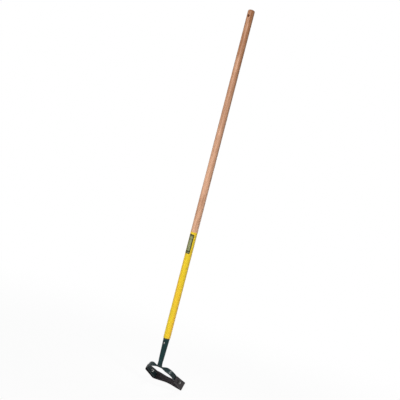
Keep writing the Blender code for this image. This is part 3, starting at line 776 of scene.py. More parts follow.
def green_paint_finish(look):
    """Dark green enamel with a faint orange peel, rubbed along its edges and soiled from the neck down."""
    material, tree, shader = new_finish("green_paint_finish")
    place = object_place(tree)
    peel = speckle(tree, place, 700, 2, 0.5)
    clouds = speckle(tree, place, 45, 4, 0.6)
    rubs = speckle(tree, place, 320, 5, 0.7)
    rubbed = calc(tree, "MULTIPLY", stored_share(tree, "wear"), steps(tree, rubs, 0.42, 0.62))
    rubbed = calc(tree, "MULTIPLY", rubbed, look.wear)
    soil_depth = 0.04
    soil_opacity = 0.8
    low_down = steps(tree, level_of(tree, place), SOCKET_END_Z, SOCKET_END_Z - soil_depth)
    film = calc(tree, "MULTIPLY", low_down, steps(tree, clouds, 0.25, 0.6))
    colour = overlay(tree, look.paint, clouds, 0.35, 0.7, 1.0, shades(look.paint, 1.45))
    colour = blend_colours(tree, calc(tree, "MULTIPLY", film, soil_opacity), colour, look.paint_soiled)
    colour = blend_colours(tree, rubbed, colour, look.paint_worn)
    bare_steel = (0.20, 0.20, 0.20)
    bare = steps(tree, calc(tree, "MULTIPLY", rubbed, rubs), 0.30, 0.36, 0.0, 0.8)
    colour = blend_colours(tree, bare, colour, bare_steel)
    rough = calc(tree, "MULTIPLY_ADD", clouds, 0.16, 0.20)
    rough = calc(tree, "MULTIPLY_ADD", rubbed, 0.2, rough)
    relief = calc(tree, "MULTIPLY_ADD", bare, -1.5, peel)
    cover(tree, shader, colour, rough, relief, 0.00006, 0.5)
    shader.inputs["Specular IOR Level"].default_value = 0.17
    return material


def blade_steel_finish(look):
    """Dark hardened steel with its scale and fine rubbing marks, brighter where the edges are ground."""
    material, tree, shader = new_finish("blade_steel_finish")
    place = object_place(tree)
    scale = speckle(tree, place, 130, 5, 0.62)
    pits = speckle(tree, place, 1100, 3, 0.6)
    rubs = speckle(tree, stretched(tree, place, (0.12, 1, 1)), 900, 3, 0.6)
    ground = stored_share(tree, "ground")
    stones = speckle(tree, stretched(tree, place, (1, 0.06, 0.06)), 2600, 2, 0.5)
    colour = overlay(tree, look.scale, scale, 0.38, 0.62, 1.0, look.steel)
    colour = overlay(tree, colour, rubs, 0.60, 0.74, 0.45, shades(look.steel, 3.0))
    bright = overlay(tree, shades(look.ground, 0.55), stones, 0.3, 0.7, 1.0, look.ground)
    colour = blend_colours(tree, ground, colour, bright)
    rough = calc(tree, "MULTIPLY_ADD", scale, 0.25, 0.36)
    rough = calc(tree, "MULTIPLY_ADD", ground, -0.16, rough)
    relief = calc(tree, "MULTIPLY_ADD", stones, calc(tree, "MULTIPLY", ground, 0.6), pits)
    cover(tree, shader, colour, rough, relief, 0.00005, 0.5)
    shader.inputs["Metallic"].default_value = 0.75
    return material


def zinc_steel_finish(look):
    """Zinc plating with its faint spangle and duller handled patches."""
    material, tree, shader = new_finish("zinc_steel_finish")
    place = object_place(tree)
    dull = speckle(tree, place, 380, 4, 0.6)
    grains = put(tree, "ShaderNodeTexVoronoi", {"Vector": place, "Scale": 1500.0}, output="Distance")
    colour = overlay(tree, look.zinc, dull, 0.38, 0.66, 1.0, look.zinc_dull)
    colour = overlay(tree, colour, grains, 0.1, 0.7, 0.25, shades(look.zinc, 1.3))
    cover(tree, shader, colour, calc(tree, "MULTIPLY_ADD", dull, 0.3, 0.18), grains, 0.00003, 0.3)
    shader.inputs["Metallic"].default_value = 1
    return material


def nylon_finish(look):
    material, tree, shader = new_finish("nylon_finish")
    cloud = speckle(tree, object_place(tree), 600, 3)
    colour = overlay(tree, look.ring, cloud, 0.3, 0.7, 1.0, shades(look.ring, 0.88))
    cover(tree, shader, colour, calc(tree, "MULTIPLY_ADD", cloud, 0.2, 0.35))
    shader.inputs["Subsurface Weight"].default_value = 0.1
    return material


def finish_named(slot):
    """The finish for one of the record's material slots, built the first time it is asked for."""
    scene = bpy.context.scene
    builders = {
        "ash_wood": (ash_wood_finish, scene.hoe_handle),
        "green_sticker": (sticker_finish, scene.hoe_sticker),
        "green_paint": (green_paint_finish, scene.hoe_socket),
        "blade_steel": (blade_steel_finish, scene.hoe_blade),
        "zinc_steel": (zinc_steel_finish, scene.hoe_pivot),
        "nylon": (nylon_finish, scene.hoe_pivot),
    }
    build, settings = builders[slot]
    return bpy.data.materials.get(build.__name__) or build(settings)


def paint_wear(mesh):
    """Stores how convex the surface is at each point, 1 where it bends as tightly as the sharpest radius."""
    sharpest = 0.0012
    smoothing_rounds = 2
    shape = bmesh.new()
    shape.from_mesh(mesh)
    values = []
    for point in shape.verts:
        bend = 0
        for edge in point.link_edges:
            away = edge.other_vert(point)
            span = away.co - point.co
            if span.length > WELD_DISTANCE:
                bend = max(bend, (away.normal - point.normal).dot(span) / span.length_squared)
        values.append(min(max(bend * sharpest, 0), 1))
    for _ in range(smoothing_rounds):
        averages = []
        for point in shape.verts:
            near = [values[edge.other_vert(point).index] for edge in point.link_edges]
            averages.append((values[point.index] + sum(near)) / (1 + len(near)))
        values = averages
    shape.free()
    mesh.attributes.new("wear", "FLOAT", "POINT").data.foreach_set("value", values)


# The pieces


def pole_radius(look, level):
    share = (BUTT_Z - level) / (BUTT_Z - RIM_Z)
    return between(look.butt_diameter, look.foot_diameter, share) / 2


def socket_radius(look, level):
    return between(RIM_RADIUS, look.end_diameter / 2, (RIM_Z - level) / (RIM_Z - SOCKET_END_Z))


def levels(high, low, count):
    return [between(high, low, i / count) for i in range(1, count)]


def screw_place(look):
    """Where the socket screw's head sits, with +Z pointing out of the socket."""
    level = RIM_Z - look.screw_drop
    reach = socket_radius(look, level + look.screw_head / 2) + GAP
    turned = Matrix.Rotation(look.screw_turn, 4, "Z")
    return turned @ Matrix.Translation((0, -reach, level)) @ Matrix.Rotation(math.pi / 2, 4, "X")


def bore_for_screw(piece, material, look, depth):
    """Bores the socket screw's hole into a piece, to a depth below the screw's head."""
    radius = SCREW_SHAFT_RADIUS + GAP
    above = 0.01
    bore = [(0, above), (radius, above), (radius, -depth), (0, -depth)]
    combine(piece, moved(turned_mesh(bore, material, 7), screw_place(look)))


class HOE_OT_make_handle(bpy.types.Operator):
    """Turn the wooden handle, with its domed butt, hanging hole and tenon"""

    bl_idname = "hoe.make_handle"
    bl_label = "Make Handle"
    bl_options = {"REGISTER", "UNDO"}

    def execute(self, context):
        look = context.scene.hoe_handle
        socket = context.scene.hoe_socket
        wood = finish_named("ash_wood")
        radius = look.butt_diameter / 2
        foot_z = RIM_Z + GAP
        foot_rounding = 0.0015
        profile = dome(radius, BUTT_Z, look.butt_dome, 16)
        for level in levels(BUTT_Z - look.butt_dome, foot_z + foot_rounding, 40):
            profile.append((pole_radius(look, level), level))
        foot = pole_radius(look, foot_z)
        profile += arc(foot - foot_rounding, foot_z + foot_rounding, foot_rounding, 0, -90, 6)
        clearance = socket.wall + GAP
        tenon_end = socket_radius(socket, TENON_END_Z) - clearance
        tenon_chamfer = 0.001
        profile += [
            (socket_radius(socket, RIM_Z) - clearance, foot_z),
            (tenon_end, TENON_END_Z + tenon_chamfer),
            (tenon_end - tenon_chamfer, TENON_END_Z),
            (0, TENON_END_Z),
        ]
        handle = add_object("wooden_handle", turned_mesh(profile, wood, 17))
        hole = look.hole_diameter / 2
        cove = look.hole_cove
        mouth = math.sqrt(radius**2 - hole**2)
        half = [(0, mouth + cove * 2), (hole + cove * 2, mouth + cove * 2)]
        half += arc(hole + cove, mouth + cove * 0.2, cove, -90, -180, 5)
        cutter = half + [(across, -level) for across, level in reversed(half)]
        combine(handle, moved(turned_mesh(cutter, wood), Matrix.Rotation(math.pi / 2, 4, "X")))
        bore_for_screw(handle, wood, socket, SCREW_LENGTH + GAP)
        clean_mesh(handle.data)
        dress(handle, HOLDING_BODY, "ash_wood", "handle")
        return {"FINISHED"}


class HOE_OT_make_sticker(bpy.types.Operator):
    """Bend the plain sticker round the back of the lacquered wood"""

    bl_idname = "hoe.make_sticker"
    bl_label = "Make Sticker"
    bl_options = {"REGISTER", "UNDO"}

    def execute(self, context):
        look = context.scene.hoe_sticker
        wood = context.scene.hoe_handle
        top = RIM_Z + wood.lacquer_length - look.drop
        middle = top - look.length / 2
        film_gap = GAP * 0.4
        inner = pole_radius(wood, top - look.length) + film_gap
        rows = sorted({round(row, 7) for row in sticker_rows(look)})
        columns = 24
        shape = bmesh.new()
        sheet = shape.loops.layers.uv.new("sheet")
        layers = []
        for lift in (0, look.thickness):
            points = []
            for row in rows:
                half = look.width / 2 - end_inset(look.length / 2 - abs(row), look.corner)
                line = []
                for j in range(columns + 1):
                    across = between(-half, half, j / columns)
                    turn = across / inner + look.turn
                    reach = inner + lift
                    point = shape.verts.new((reach * math.sin(turn), -reach * math.cos(turn), middle + row))
                    line.append((point, (across, row)))
                points.append(line)
            layers.append(points)
        low, high = layers
        quads = []
        for i in range(len(rows) - 1):
            for j in range(columns):
                quads.append([high[i][j], high[i][j + 1], high[i + 1][j + 1], high[i + 1][j]])
                quads.append([low[i][j], low[i + 1][j], low[i + 1][j + 1], low[i][j + 1]])
            for j in (0, columns):
                quads.append([low[i][j], high[i][j], high[i + 1][j], low[i + 1][j]])
        for i in (0, len(rows) - 1):
            for j in range(columns):
                quads.append([low[i][j], low[i][j + 1], high[i][j + 1], high[i][j]])
        for quad in quads:
            face = shape.faces.new([point for point, _ in quad])
            for loop, (_, mapped) in zip(face.loops, quad):
                loop[sheet].uv = mapped
        sticker = add_object("plain_sticker", clean_mesh(finished_mesh("plain_sticker", shape)))
        dress(sticker, HOLDING_BODY, "green_sticker", "sticker")
        return {"FINISHED"}


def sticker_rows(look):
    """Levels across the sticker, closer together in its rounded corners."""
    half = look.length / 2
    straight_parts = 32
    corner_parts = 6
    for i in range(straight_parts + 1):
        yield between(look.corner - half, half - look.corner, i / straight_parts)
    for i in range(corner_parts + 1):
        inset = look.corner * (1 - math.sin(math.pi / 2 * i / corner_parts))
        yield half - inset
        yield inset - half


class HOE_OT_make_socket(bpy.types.Operator):
    """Turn the tapered socket, and weld it to the neck"""

    bl_idname = "hoe.make_socket"
    bl_label = "Make Socket"
    bl_options = {"REGISTER", "UNDO"}

    def execute(self, context):
        look = context.scene.hoe_socket
        edge = look.edge
        end = look.end_diameter / 2
        inner_rim = RIM_RADIUS - look.wall
        inner_end = end - look.wall
        outside = arc(RIM_RADIUS - edge, RIM_Z - edge, edge, 90, 0, 5)
        for level in levels(RIM_Z - edge, SOCKET_END_Z + edge, 16):
            outside.append((socket_radius(look, level), level))
        outside += arc(end - edge, SOCKET_END_Z + edge, edge, 0, -90, 5)
        inside = [(inner_end, SOCKET_END_Z), (inner_rim, RIM_Z)]
        paint = finish_named("green_paint")
        socket = add_object("tapered_socket", turned_mesh([*outside, *inside, outside[0]], paint, 17))
        bore_for_screw(socket, paint, look, 0.01)
        clean_mesh(socket.data)
        paint_wear(socket.data)
        dress(socket, HOLDING_BODY, "green_paint", "socket")

        sunk_share = 0.35
        drop_share = 0.12
        steps_per_ripple = 10
        bead = run_tree(
            tree_named("weld_bead"),
            bpy.data.meshes.new("bead"),
            {
                "Radius": end - look.bead * sunk_share,
                "Thickness": look.bead,
                "Ripples": float(look.bead_ripples),
                "Height": SOCKET_END_Z - look.bead * drop_share,
                "Steps": look.bead_ripples * steps_per_ripple,
                "Material": paint,
            },
        )
        weld = add_object("neck_weld", clean_mesh(bead))
        paint_wear(weld.data)
        dress(weld, HOLDING_BODY, "green_paint")
        return {"FINISHED"}


class HOE_OT_make_socket_screw(bpy.types.Operator):
    """Turn the slotted screw that holds the handle in its socket"""

    bl_idname = "hoe.make_socket_screw"
    bl_label = "Make Socket Screw"
    bl_options = {"REGISTER", "UNDO"}

    def execute(self, context):
        look = context.scene.hoe_socket
        zinc = finish_named("zinc_steel")
        head = look.screw_head / 2
        rim = look.screw_rise * 0.28
        edge = 0.0002
        point_length = 0.002
        slot_width = 0.0011
        slot_depth = 0.001
        profile = dome(head, look.screw_rise, look.screw_rise - rim, 8)
        profile += [(head, edge), (head - edge, 0), (SCREW_SHAFT_RADIUS, 0)]
        profile += [(SCREW_SHAFT_RADIUS, point_length - SCREW_LENGTH), (0, -SCREW_LENGTH)]
        screw = add_object("slotted_screw", turned_mesh(profile, zinc, 9))
        size = Matrix.Diagonal((slot_width, look.screw_head * 1.2, slot_depth * 2, 1))
        place = Matrix.Translation((0, 0, look.screw_rise)) @ size
        combine(screw, primitive_mesh("slot", bmesh.ops.create_cube, size=1, matrix=place))
        moved(clean_mesh(screw.data), screw_place(look))
        dress(screw, HOLDING_BODY, "zinc_steel", "socket_screw")
        return {"FINISHED"}


def arm_side_view(look, height):
    """Where the yoke's middle line is in the side view, at a height above the pivots: (forward, up, lean)."""
    if height <= 0:
        return 0, height, 0
    forward = 0
    up = 0
    parts = 60
    bend_height = 0.9 * look.height
    for i in range(parts):
        lean = look.arm_bend * smooth_step(height * (i + 0.5) / parts / bend_height)
        forward += math.sin(lean) * height / parts
        up += math.cos(lean) * height / parts
    return forward, up, look.arm_bend * smooth_step(height / bend_height)


def arm_frame(look, lean=0):
    """The pivots' frame, with +Z up along the arms."""
    return Matrix.Translation(PIVOT) @ Matrix.Rotation(look.bow_angle + look.arm_bend + lean, 4, "X")


def yoke_rings(look):
    """Rings along the bow and down both arms."""
    ends = (look.height, -look.arm_reach, look.arm_corner)
    outline = u_outline(look.arm_spacing / 2, look.bow_radius, *ends, (22, 26, 16))
    total = outline[-1][2]
    frame_at_arms = arm_frame(look)
    turn = frame_at_arms.to_3x3()
    rings = []
    for (x, z, distance), tangent in zip(outline, outline_tangents(outline)):
        forward, up, lean = arm_side_view(look, z)
        share = smooth_step((distance - look.neck_flare / 2) / look.arm_growth)
        to_end = total - distance
        half_width = between(look.bow_width, look.arm_width, share) / 2 - end_inset(to_end, look.arm_corner)
        half_thick = between(look.bow_thickness, look.arm_thickness, share) / 2 - end_inset(to_end, look.edge)
        corner = min(look.edge * (2 - share), half_width * 0.95, half_thick * 0.95)
        across_way = Vector((0, math.cos(lean), -math.sin(lean)))
        up_way = Vector((0, math.sin(lean), math.cos(lean)))
        out_way = Vector((-tangent.y, 0, 0)) + up_way * tangent.x
        centre = frame_at_arms @ Vector((x, forward, up))
        rings.append((centre, turn @ across_way, turn @ out_way, (half_width, half_thick), (corner, corner)))
    return closed_rings(rings)


def closed_rings(rings):
    """The rings, with a point at each end that closes the bar."""
    first = (*rings[0][:3], (0, 0), (0, 0))
    last = (*rings[-1][:3], (0, 0), (0, 0))
    return [first, *rings, last]


def neck_rings(look, shank_radius, bow_z):
    """Round rings down the shank and the neck, which flares along the bow where it flows into it."""
    neck = look.neck_diameter / 2
    foot = look.neck_foot / 2
    top = look.neck_length + look.shank_insert
    shoulder = look.neck_length - GAP
    chamfer = 0.001
    flare_height = look.neck_length * 0.75
    sizes = [
        (top, shank_radius - chamfer, shank_radius - chamfer),
        (top - chamfer, shank_radius, shank_radius),
        (shoulder, shank_radius, shank_radius),
        (shoulder, neck, neck),
    ]
    parts = 24
    for i in range(parts + 1):
        share = i / parts
        across = between(neck, look.neck_flare, share**3)
        deep = between(neck, foot, smooth_step(share**3))
        sizes.append((flare_height * (1 - share), across, deep))
    for sunk, across_share, deep_share in ((0.25, 0.9, 0.85), (0.4, 0.7, 0.5)):
        sizes.append((-look.bow_thickness * sunk, look.neck_flare * across_share, foot * deep_share))
    return closed_rings([round_ring(bow_z + height, across, deep) for height, across, deep in sizes])


def rod_mesh(radius, length, material):
    """A plain round rod along X, centred on its origin."""
    half = length / 2
    mesh = turned_mesh([(0, half), (radius, half), (radius, -half), (0, -half)], material)
    return moved(mesh, Matrix.Rotation(math.pi / 2, 4, "Y"))


class HOE_OT_make_yoke(bpy.types.Operator):
    """Forge the yoke: a bow with two flat arms, on a neck that goes up into the socket"""

    bl_idname = "hoe.make_yoke"
    bl_label = "Make Yoke"
    bl_options = {"REGISTER", "UNDO"}

    def execute(self, context):
        look = context.scene.hoe_yoke
        socket = context.scene.hoe_socket
        paint = finish_named("green_paint")
        yoke = add_object("forged_yoke", swept_mesh(yoke_rings(look), paint, 6))
        shank_radius = socket.end_diameter / 2 - socket.wall - GAP
        neck = neck_rings(look, shank_radius, SOCKET_END_Z - look.neck_length)
        combine(yoke, swept_mesh(neck, paint, 9), "UNION")
        # One even skin over the bow and the neck, smoothed so that the neck flows into the bow
        forge = yoke.modifiers.new("forge", "REMESH")
        forge.mode = "VOXEL"
        forge.voxel_size = 0.0007
        settle = yoke.modifiers.new("settle", "SMOOTH")
        settle.factor = 0.5
        settle.iterations = 6
        forged = evaluated_mesh(yoke)
        yoke.modifiers.clear()
        yoke.data = forged
        rod = rod_mesh(look.bolt_hole / 2, look.arm_spacing * 1.2, paint)
        combine(yoke, moved(rod, arm_frame(look)))
        clean_mesh(yoke.data)
        paint_wear(yoke.data)
        dress(yoke, HOLDING_BODY, "green_paint", "yoke")
        return {"FINISHED"}


def blade_section(look, distance, to_end, ear_start):
    """The blade's section at a distance from its middle, as (across, out) points, and how plain it is.

    How plain goes from 0, where both sides are ground, to 1 on the ears.
    """
    half_thick = look.thickness / 2
    spread = smooth_step(distance / ear_start)
    half_width = between(look.width, look.ear_width, spread) / 2 - end_inset(to_end, look.ear_corner)
    up_ear = max(distance - ear_start, 0) / (distance + to_end - ear_start)
    half_width += (look.ear_top_width - look.ear_width) / 2 * up_ear
    ground_length = 0.8 * ear_start
    plain = smooth_step((distance - ground_length) / (ear_start - ground_length))
    bevel = between(look.bevel, GAP, plain)
    edge = between(look.edge, look.thickness - GAP, plain)
    most_ease = 0.00012
    ease = min(most_ease, edge * 0.2)
    return [
        (-half_width + ease, -half_thick),
        (half_width - ease, -half_thick),
        (half_width, ease - half_thick),
        (half_width, edge - half_thick),
        (half_width - bevel, half_thick),
        (bevel - half_width, half_thick),
        (-half_width, edge - half_thick),
        (-half_width, ease - half_thick),
    ], plain


class HOE_OT_make_blade(bpy.types.Operator):
    """Bend the U-shaped blade, with its two ears and ground edges"""

    bl_idname = "hoe.make_blade"
    bl_label = "Make Blade"
    bl_options = {"REGISTER", "UNDO"}

    def execute(self, context):
        look = context.scene.hoe_blade
        yoke = context.scene.hoe_yoke
        bevel_angle = math.radians(14)
        half_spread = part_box("blade")[1].x - look.thickness / 2
        ends = (-look.depth, look.ear_height, look.ear_corner)
        outline = u_outline(half_spread, look.bend_radius, *ends, (30, 14, 12))
        total = outline[-1][2]
        ear_start = half_spread - look.bend_radius + look.bend_radius * math.pi / 2
        place = arm_frame(yoke, look.lean)
        shape = bmesh.new()
        ground = shape.faces.layers.float.new("ground")
        rings = []
        plainness = []
        for (x, z, distance), tangent in zip(outline, outline_tangents(outline)):
            section, plain = blade_section(look, distance, total - distance, ear_start)
            out_way = Vector((tangent.y, 0, -tangent.x))
            points = [place @ (Vector((x, across, z)) + out_way * out) for across, out in section]
            rings.append([shape.verts.new(point) for point in points])
            plainness.append(plain)
        count = len(rings[0])
        ground_sides = (2, 3, 5, 6)
        for i in range(len(rings) - 1):
            for j in range(count):
                k = (j + 1) % count
                face = shape.faces.new((rings[i][j], rings[i][k], rings[i + 1][k], rings[i + 1][j]))
                if j in ground_sides:
                    face[ground] = 1 - max(plainness[i], plainness[i + 1])
        shape.faces.new(rings[0])
        shape.faces.new(rings[-1])
        blade = add_object("u_blade", clean_mesh(finished_mesh("u_blade", shape), bevel_angle))
        rod = rod_mesh(look.ear_hole / 2, half_spread * 2.4, finish_named("blade_steel"))
        combine(blade, moved(rod, place))
        clean_mesh(blade.data, bevel_angle)
        dress(blade, SWINGING_BODY, "blade_steel", "blade")
        return {"FINISHED"}


def axis_span(node):
    """How far along the pivot axis a right-hand node starts and ends."""
    low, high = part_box(node)
    return low.x, high.x


def node_radius(node):
    low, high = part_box(node)
    return (high.y - low.y) / 2


def ring_profile(outer, inner, low, high, edge):
    return [
        (inner, high - edge / 2),
        (inner + edge / 2, high),
        (outer - edge, high),
        (outer, high - edge),
        (outer, low + edge),
        (outer - edge, low),
        (inner + edge / 2, low),
        (inner, low + edge / 2),
        (inner, high - edge / 2),
    ]


def hexagon_mesh(flats, low, high, material, chamfer_low):
    """A hexagon along Z whose corners are turned off at its upper end, and at its lower end if asked."""
    corner = flats / math.sqrt(3)
    slope = (corner - flats / 2) * math.tan(math.radians(30))
    face_radius = flats / 2 * 0.97
    reach = corner * 1.02
    size = {"radius1": corner, "radius2": corner, "depth": high - low}
    middle = Matrix.Translation((0, 0, (low + high) / 2))
    mesh = primitive_mesh("hexagon", bmesh.ops.create_cone, cap_ends=True, segments=6, matrix=middle, **size)
    block = add_object("hexagon", mesh)
    top = [(0, high), (face_radius, high), (reach, high - slope)]
    foot = [(reach, low + slope), (face_radius, low)] if chamfer_low else [(reach, low)]
    combine(block, turned_mesh([*top, *foot, (0, low)], material, 17), "INTERSECT")
    result = block.data
    bpy.data.objects.remove(block)
    return result


def place_at_both_ends(name, mesh, slot, node):
    """Makes one piece of a right-hand mesh and its left-hand copy, in place of both sides' nodes."""
    yoke = bpy.context.scene.hoe_yoke
    angle = yoke.bow_angle + yoke.arm_bend
    inputs = {"Pivot": tuple(PIVOT), "Arm Angle": angle, "Material": finish_named(slot)}
    piece = add_object(name, clean_mesh(run_tree(tree_named("both_ends"), mesh, inputs)))
    dress(piece, HOLDING_BODY, slot, *[f"{node}_{side}" for side in SIDES])


class HOE_OT_make_pivot_rings(bpy.types.Operator):
    """Turn the bushings, spacers, washers and nylon rings of both pivots"""

    bl_idname = "hoe.make_pivot_rings"
    bl_label = "Make Pivot Rings"
    bl_options = {"REGISTER", "UNDO"}

    def execute(self, context):
        look = context.scene.hoe_pivot
        shank = look.bolt_diameter / 2
        bushing = node_radius("bushing_right")
        rings = (
            ("pivot_bushings", "bushing", shank + GAP, 0.0003, "zinc_steel"),
            ("ear_spacers", "spacer", bushing + GAP, 0.0002, "zinc_steel"),
            ("outer_washers", "outer_washer", shank + GAP, 0.00025, "zinc_steel"),
            ("inner_washers", "inner_washer", shank + GAP, 0.00025, "zinc_steel"),
            ("locking_rings", "nut_ring", shank + GAP / 3, 0.0003, "nylon"),
        )
        for name, node, hole, edge, slot in rings:
            profile = ring_profile(node_radius(node + "_right"), hole, *axis_span(node + "_right"), edge)
            place_at_both_ends(name, turned_mesh(profile, finish_named(slot)), slot, node)
        return {"FINISHED"}


class HOE_OT_make_bolts(bpy.types.Operator):
    """Make the two hexagon bolts with their cut threads"""

    bl_idname = "hoe.make_bolts"
    bl_label = "Make Bolts"
    bl_options = {"REGISTER", "UNDO"}

    def execute(self, context):
        look = context.scene.hoe_pivot
        zinc = finish_named("zinc_steel")
        bolt_end, head_top = axis_span("bolt_right")
        head_low = axis_span("outer_washer_right")[1] + GAP
        rings_per_turn = 10
        closing_rings = 3
        points_around = 36
        overlap = 0.002
        length = head_low + overlap - bolt_end
        rod = run_tree(
            tree_named("threaded_rod"),
            bpy.data.meshes.new("rod"),
            {
                "Length": length,
                "Diameter": look.bolt_diameter,
                "Pitch": look.thread_pitch,
                "Depth": look.thread_depth,
                "Thread Length": look.thread_length,
                "Rings": float(round(length / look.thread_pitch * rings_per_turn) + closing_rings),
                "Around": float(points_around),
                "Material": zinc,
            },
        )
        clean_mesh(moved(rod, Matrix.Translation((0, 0, bolt_end))))
        head = add_object("head", hexagon_mesh(look.head_flats, head_low, head_top, zinc, False))
        combine(head, rod, "UNION")
        place_at_both_ends("hexagon_bolts", head.data, "zinc_steel", "bolt")
        bpy.data.objects.remove(head)
        return {"FINISHED"}


class HOE_OT_make_nuts(bpy.types.Operator):
    """Make the two lock nuts, each with the collar that holds its nylon ring"""

    bl_idname = "hoe.make_nuts"
    bl_label = "Make Nuts"
    bl_options = {"REGISTER", "UNDO"}

    def execute(self, context):
        look = context.scene.hoe_pivot
        zinc = finish_named("zinc_steel")
        low, high = axis_span("nut_right")
        ring_high = axis_span("nut_ring_right")[1]
        hexagon_low = low + look.collar_height
        nut = add_object("nut", hexagon_mesh(look.head_flats, hexagon_low, high, zinc, True))
        collar = look.collar_diameter / 2
        overlap = 0.002
        rounding = 0.0009
        collar_top = hexagon_low + overlap
        collar_profile = [(0, collar_top), (collar, collar_top), (collar, low + rounding)]
        collar_profile += arc(collar - rounding, low + rounding, rounding, 0, -90, 6)
        combine(nut, turned_mesh([*collar_profile, (0, low)], zinc), "UNION")
        hole = look.bolt_diameter / 2 + GAP / 3
        recess = node_radius("nut_ring_right") + GAP
        countersink = 0.0008
        beyond = 0.001
        bore = [
            (0, high + beyond),
            (hole + countersink + beyond, high + beyond),
            (hole, high - countersink),
            (hole, ring_high + GAP),
            (recess, ring_high + GAP),
            (recess, low - beyond),
            (0, low - beyond),
        ]
        combine(nut, turned_mesh(bore, zinc))
        place_at_both_ends("lock_nuts", nut.data, "zinc_steel", "nut")
        bpy.data.objects.remove(nut)
        return {"FINISHED"}


# The stage


def camera_matrix(look):
    """The camera's place, from how the handle leans in the picture and where its bow shows there."""
    picture_side = 400
    sensor_width = 36
    bow_in_picture = (159.35, 366.6)
    focal = look.focal_length / sensor_width * picture_side
    turn, roll, tilt = look.camera_turn, look.camera_roll, look.camera_tilt
    up_in_picture = Vector((math.sin(roll), math.cos(roll), 0))
    side_in_picture = Vector((math.cos(roll), -math.sin(roll), 0))
    to_viewer = Vector((0, 0, 1))
    handle_way = math.cos(tilt) * up_in_picture + math.sin(tilt) * to_viewer
    away = math.cos(tilt) * to_viewer - math.sin(tilt) * up_in_picture
    bolt_way = math.cos(turn) * side_in_picture + math.sin(turn) * away
    forward_way = math.sin(turn) * side_in_picture - math.cos(turn) * away
    to_picture = Matrix((bolt_way, forward_way, handle_way)).transposed()
    distance = look.camera_distance
    right = (bow_in_picture[0] - picture_side / 2) / focal * distance
    up = (picture_side / 2 - bow_in_picture[1]) / focal * distance
    bow = Vector((0, 0, SOCKET_END_Z - bpy.context.scene.hoe_yoke.neck_length))
    to_world = to_picture.transposed()
    location = bow + to_world @ Vector((-right, -up, distance))
    return Matrix.Translation(location) @ to_world.to_4x4()


def way_out(azimuth, elevation=0):
    """The way from the hoe to a place round it, in degrees round from the handle's back and degrees up."""
    turn = math.radians(azimuth)
    rise = math.radians(elevation)
    return Vector((math.sin(turn) * math.cos(rise), -math.cos(turn) * math.cos(rise), math.sin(rise)))


def hang_lamp(light, target, offset):
    """Hangs a lamp at an offset from what it faces, where the camera doesn't see it."""
    lamp = add_object(light.name, light)
    lamp.location = target + offset
    lamp.rotation_euler = offset.to_track_quat("Z", "Y").to_euler()
    lamp.visible_camera = False
    return lamp


def add_soft_lamp(name, azimuth, height, power, size):
    """A tall soft lamp that faces the middle of the handle."""
    distance = 3.4
    light = bpy.data.lights.new(name, "AREA")
    light.shape = "RECTANGLE"
    light.size, light.size_y = size
    light.energy = power
    middle = (cad_box[0] + cad_box[1]) / 2
    return hang_lamp(light, middle, way_out(azimuth) * distance + Vector((0, 0, height)))


def add_head_lamp(look, azimuth):
    """A narrow lamp on the hoe's head, which shows as a sheen on the shoulder of the yoke."""
    elevation = 50
    distance = 4.0
    light = bpy.data.lights.new("head_lamp", "SPOT")
    light.energy = look.head_power
    light.spot_size = look.head_spread
    light.spot_blend = 0.7
    light.shadow_soft_size = 0.4
    hang_lamp(light, PIVOT, way_out(azimuth, elevation) * distance)


def seen_directly(tree):
    """1 for the rays that show the white surroundings: from the camera, off gloss and through glass."""
    rays = put(tree, "ShaderNodeLightPath").node.outputs
    seen = calc(tree, "MAXIMUM", rays["Is Camera Ray"], rays["Is Glossy Ray"])
    return calc(tree, "MAXIMUM", seen, rays["Is Transmission Ray"])


def floor_finish(look):
    """A pale floor that keeps the hoe's shadow close by, and fades into the white world further off."""
    near_distance = 0.3
    far_distance = 2.5
    near_glow = 0.92
    material = bpy.data.materials.new("stage_floor")
    material.use_nodes = True
    tree = material.node_tree
    tree.nodes.clear()
    place = object_place(tree)
    grain = speckle(tree, place, 3.0, 4, 0.6)
    shade = look.floor_shade
    colour = ramp(tree, grain, (0.3, (shade * 0.985,) * 3), (0.7, (shade,) * 3))
    plain = put(tree, "ShaderNodeBsdfDiffuse", {"Color": colour})
    white = put(tree, "ShaderNodeEmission", {"Color": (1, 1, 1, 1), "Strength": 1.0})
    away = put(tree, "ShaderNodeVectorMath", {0: place}, output="Value", operation="LENGTH")
    glow = steps(tree, away, near_distance, far_distance, near_glow, 1.0)
    glow = calc(tree, "MULTIPLY", seen_directly(tree), glow)
    surface = put(tree, "ShaderNodeMixShader", {0: glow, 1: plain, 2: white})
    tree.links.new(surface, tree.nodes.new("ShaderNodeOutputMaterial").inputs["Surface"])
    return material


def set_world(look):
    """A world that shows white, and lights the hoe only faintly."""
    world = bpy.data.worlds.new("studio")
    world.use_nodes = True
    tree = world.node_tree
    tree.nodes.clear()
    shown = 1.0 - look.world_light
    strength = calc(tree, "MULTIPLY_ADD", seen_directly(tree), shown, look.world_light)
    sky = put(tree, "ShaderNodeBackground", {"Color": (1, 1, 1, 1), "Strength": strength})
    tree.links.new(sky, tree.nodes.new("ShaderNodeOutputWorld").inputs["Surface"])
    bpy.context.scene.world = world


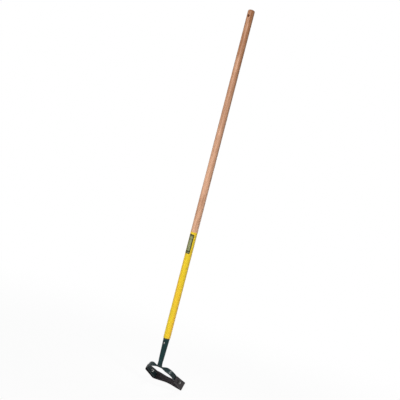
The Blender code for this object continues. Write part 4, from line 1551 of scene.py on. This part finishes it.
class HOE_OT_make_stage(bpy.types.Operator):
    """Lay the floor, hang the lamps and set up the camera"""

    bl_idname = "hoe.make_stage"
    bl_label = "Make Stage"
    bl_options = {"REGISTER", "UNDO"}

    def execute(self, context):
        look = context.scene.hoe_stage
        floor_radius = 25
        floor_drop = 0.002
        circle_mesh = primitive_mesh(
            "stage_floor", bmesh.ops.create_circle, cap_ends=True, segments=64, radius=floor_radius
        )
        circle_mesh.materials.append(floor_finish(look))
        floor = add_object("stage_floor", circle_mesh)
        floor.location = (0, 0, cad_box[0].z - floor_drop)
        camera_azimuth = math.degrees(look.camera_turn)
        key_azimuth = camera_azimuth - 18
        back_azimuth = camera_azimuth + 162
        head_azimuth = camera_azimuth + 34
        add_soft_lamp("key_lamp", key_azimuth, 1.2, look.key_power, (1.0, 1.6))
        back_lamp = add_soft_lamp("back_lamp", back_azimuth, 1.0, look.back_power, (1.8, 2.0))
        back_lamp.visible_glossy = False
        add_head_lamp(look, head_azimuth)
        set_world(look)
        camera_data = bpy.data.cameras.new("camera")
        camera_data.lens = look.focal_length
        camera_data.clip_start = 0.05
        camera_data.clip_end = 100
        camera = add_object("camera", camera_data)
        camera.matrix_world = camera_matrix(look)
        context.scene.camera = camera
        context.scene.view_settings.view_transform = "Standard"
        return {"FINISHED"}


# The add-on

SETTINGS = {
    "hoe_handle": HoeHandleSettings,
    "hoe_sticker": HoeStickerSettings,
    "hoe_socket": HoeSocketSettings,
    "hoe_yoke": HoeYokeSettings,
    "hoe_blade": HoeBladeSettings,
    "hoe_pivot": HoePivotSettings,
    "hoe_stage": HoeStageSettings,
}

STEPS = {
    "hoe_handle": (HOE_OT_make_handle,),
    "hoe_sticker": (HOE_OT_make_sticker,),
    "hoe_socket": (HOE_OT_make_socket, HOE_OT_make_socket_screw),
    "hoe_yoke": (HOE_OT_make_yoke,),
    "hoe_blade": (HOE_OT_make_blade,),
    "hoe_pivot": (HOE_OT_make_pivot_rings, HOE_OT_make_bolts, HOE_OT_make_nuts),
    "hoe_stage": (HOE_OT_make_stage,),
}


class HOE_PT_pieces(bpy.types.Panel):
    """Lists the hoe's settings and the buttons that make its pieces"""

    bl_label = "Oscillating Hoe"
    bl_idname = "HOE_PT_pieces"
    bl_space_type = "VIEW_3D"
    bl_region_type = "UI"
    bl_category = "Hoe"

    def draw(self, context):
        for group, operators in STEPS.items():
            section = self.layout.box()
            settings = getattr(context.scene, group)
            for name in SETTINGS[group].__annotations__:
                section.prop(settings, name)
            for operator in operators:
                section.operator(operator.bl_idname)


OPERATORS = [operator for operators in STEPS.values() for operator in operators]
CLASSES = (*SETTINGS.values(), *OPERATORS, HOE_PT_pieces)


def register():
    for one in CLASSES:
        bpy.utils.register_class(one)
    for group, settings in SETTINGS.items():
        setattr(bpy.types.Scene, group, bpy.props.PointerProperty(type=settings))


def unregister():
    for group in SETTINGS:
        delattr(bpy.types.Scene, group)
    for one in reversed(CLASSES):
        bpy.utils.unregister_class(one)


def main():
    register()
    for operator in OPERATORS:
        getattr(bpy.ops.hoe, operator.bl_idname.split(".")[1])()


if __name__ == "__main__":
    main()
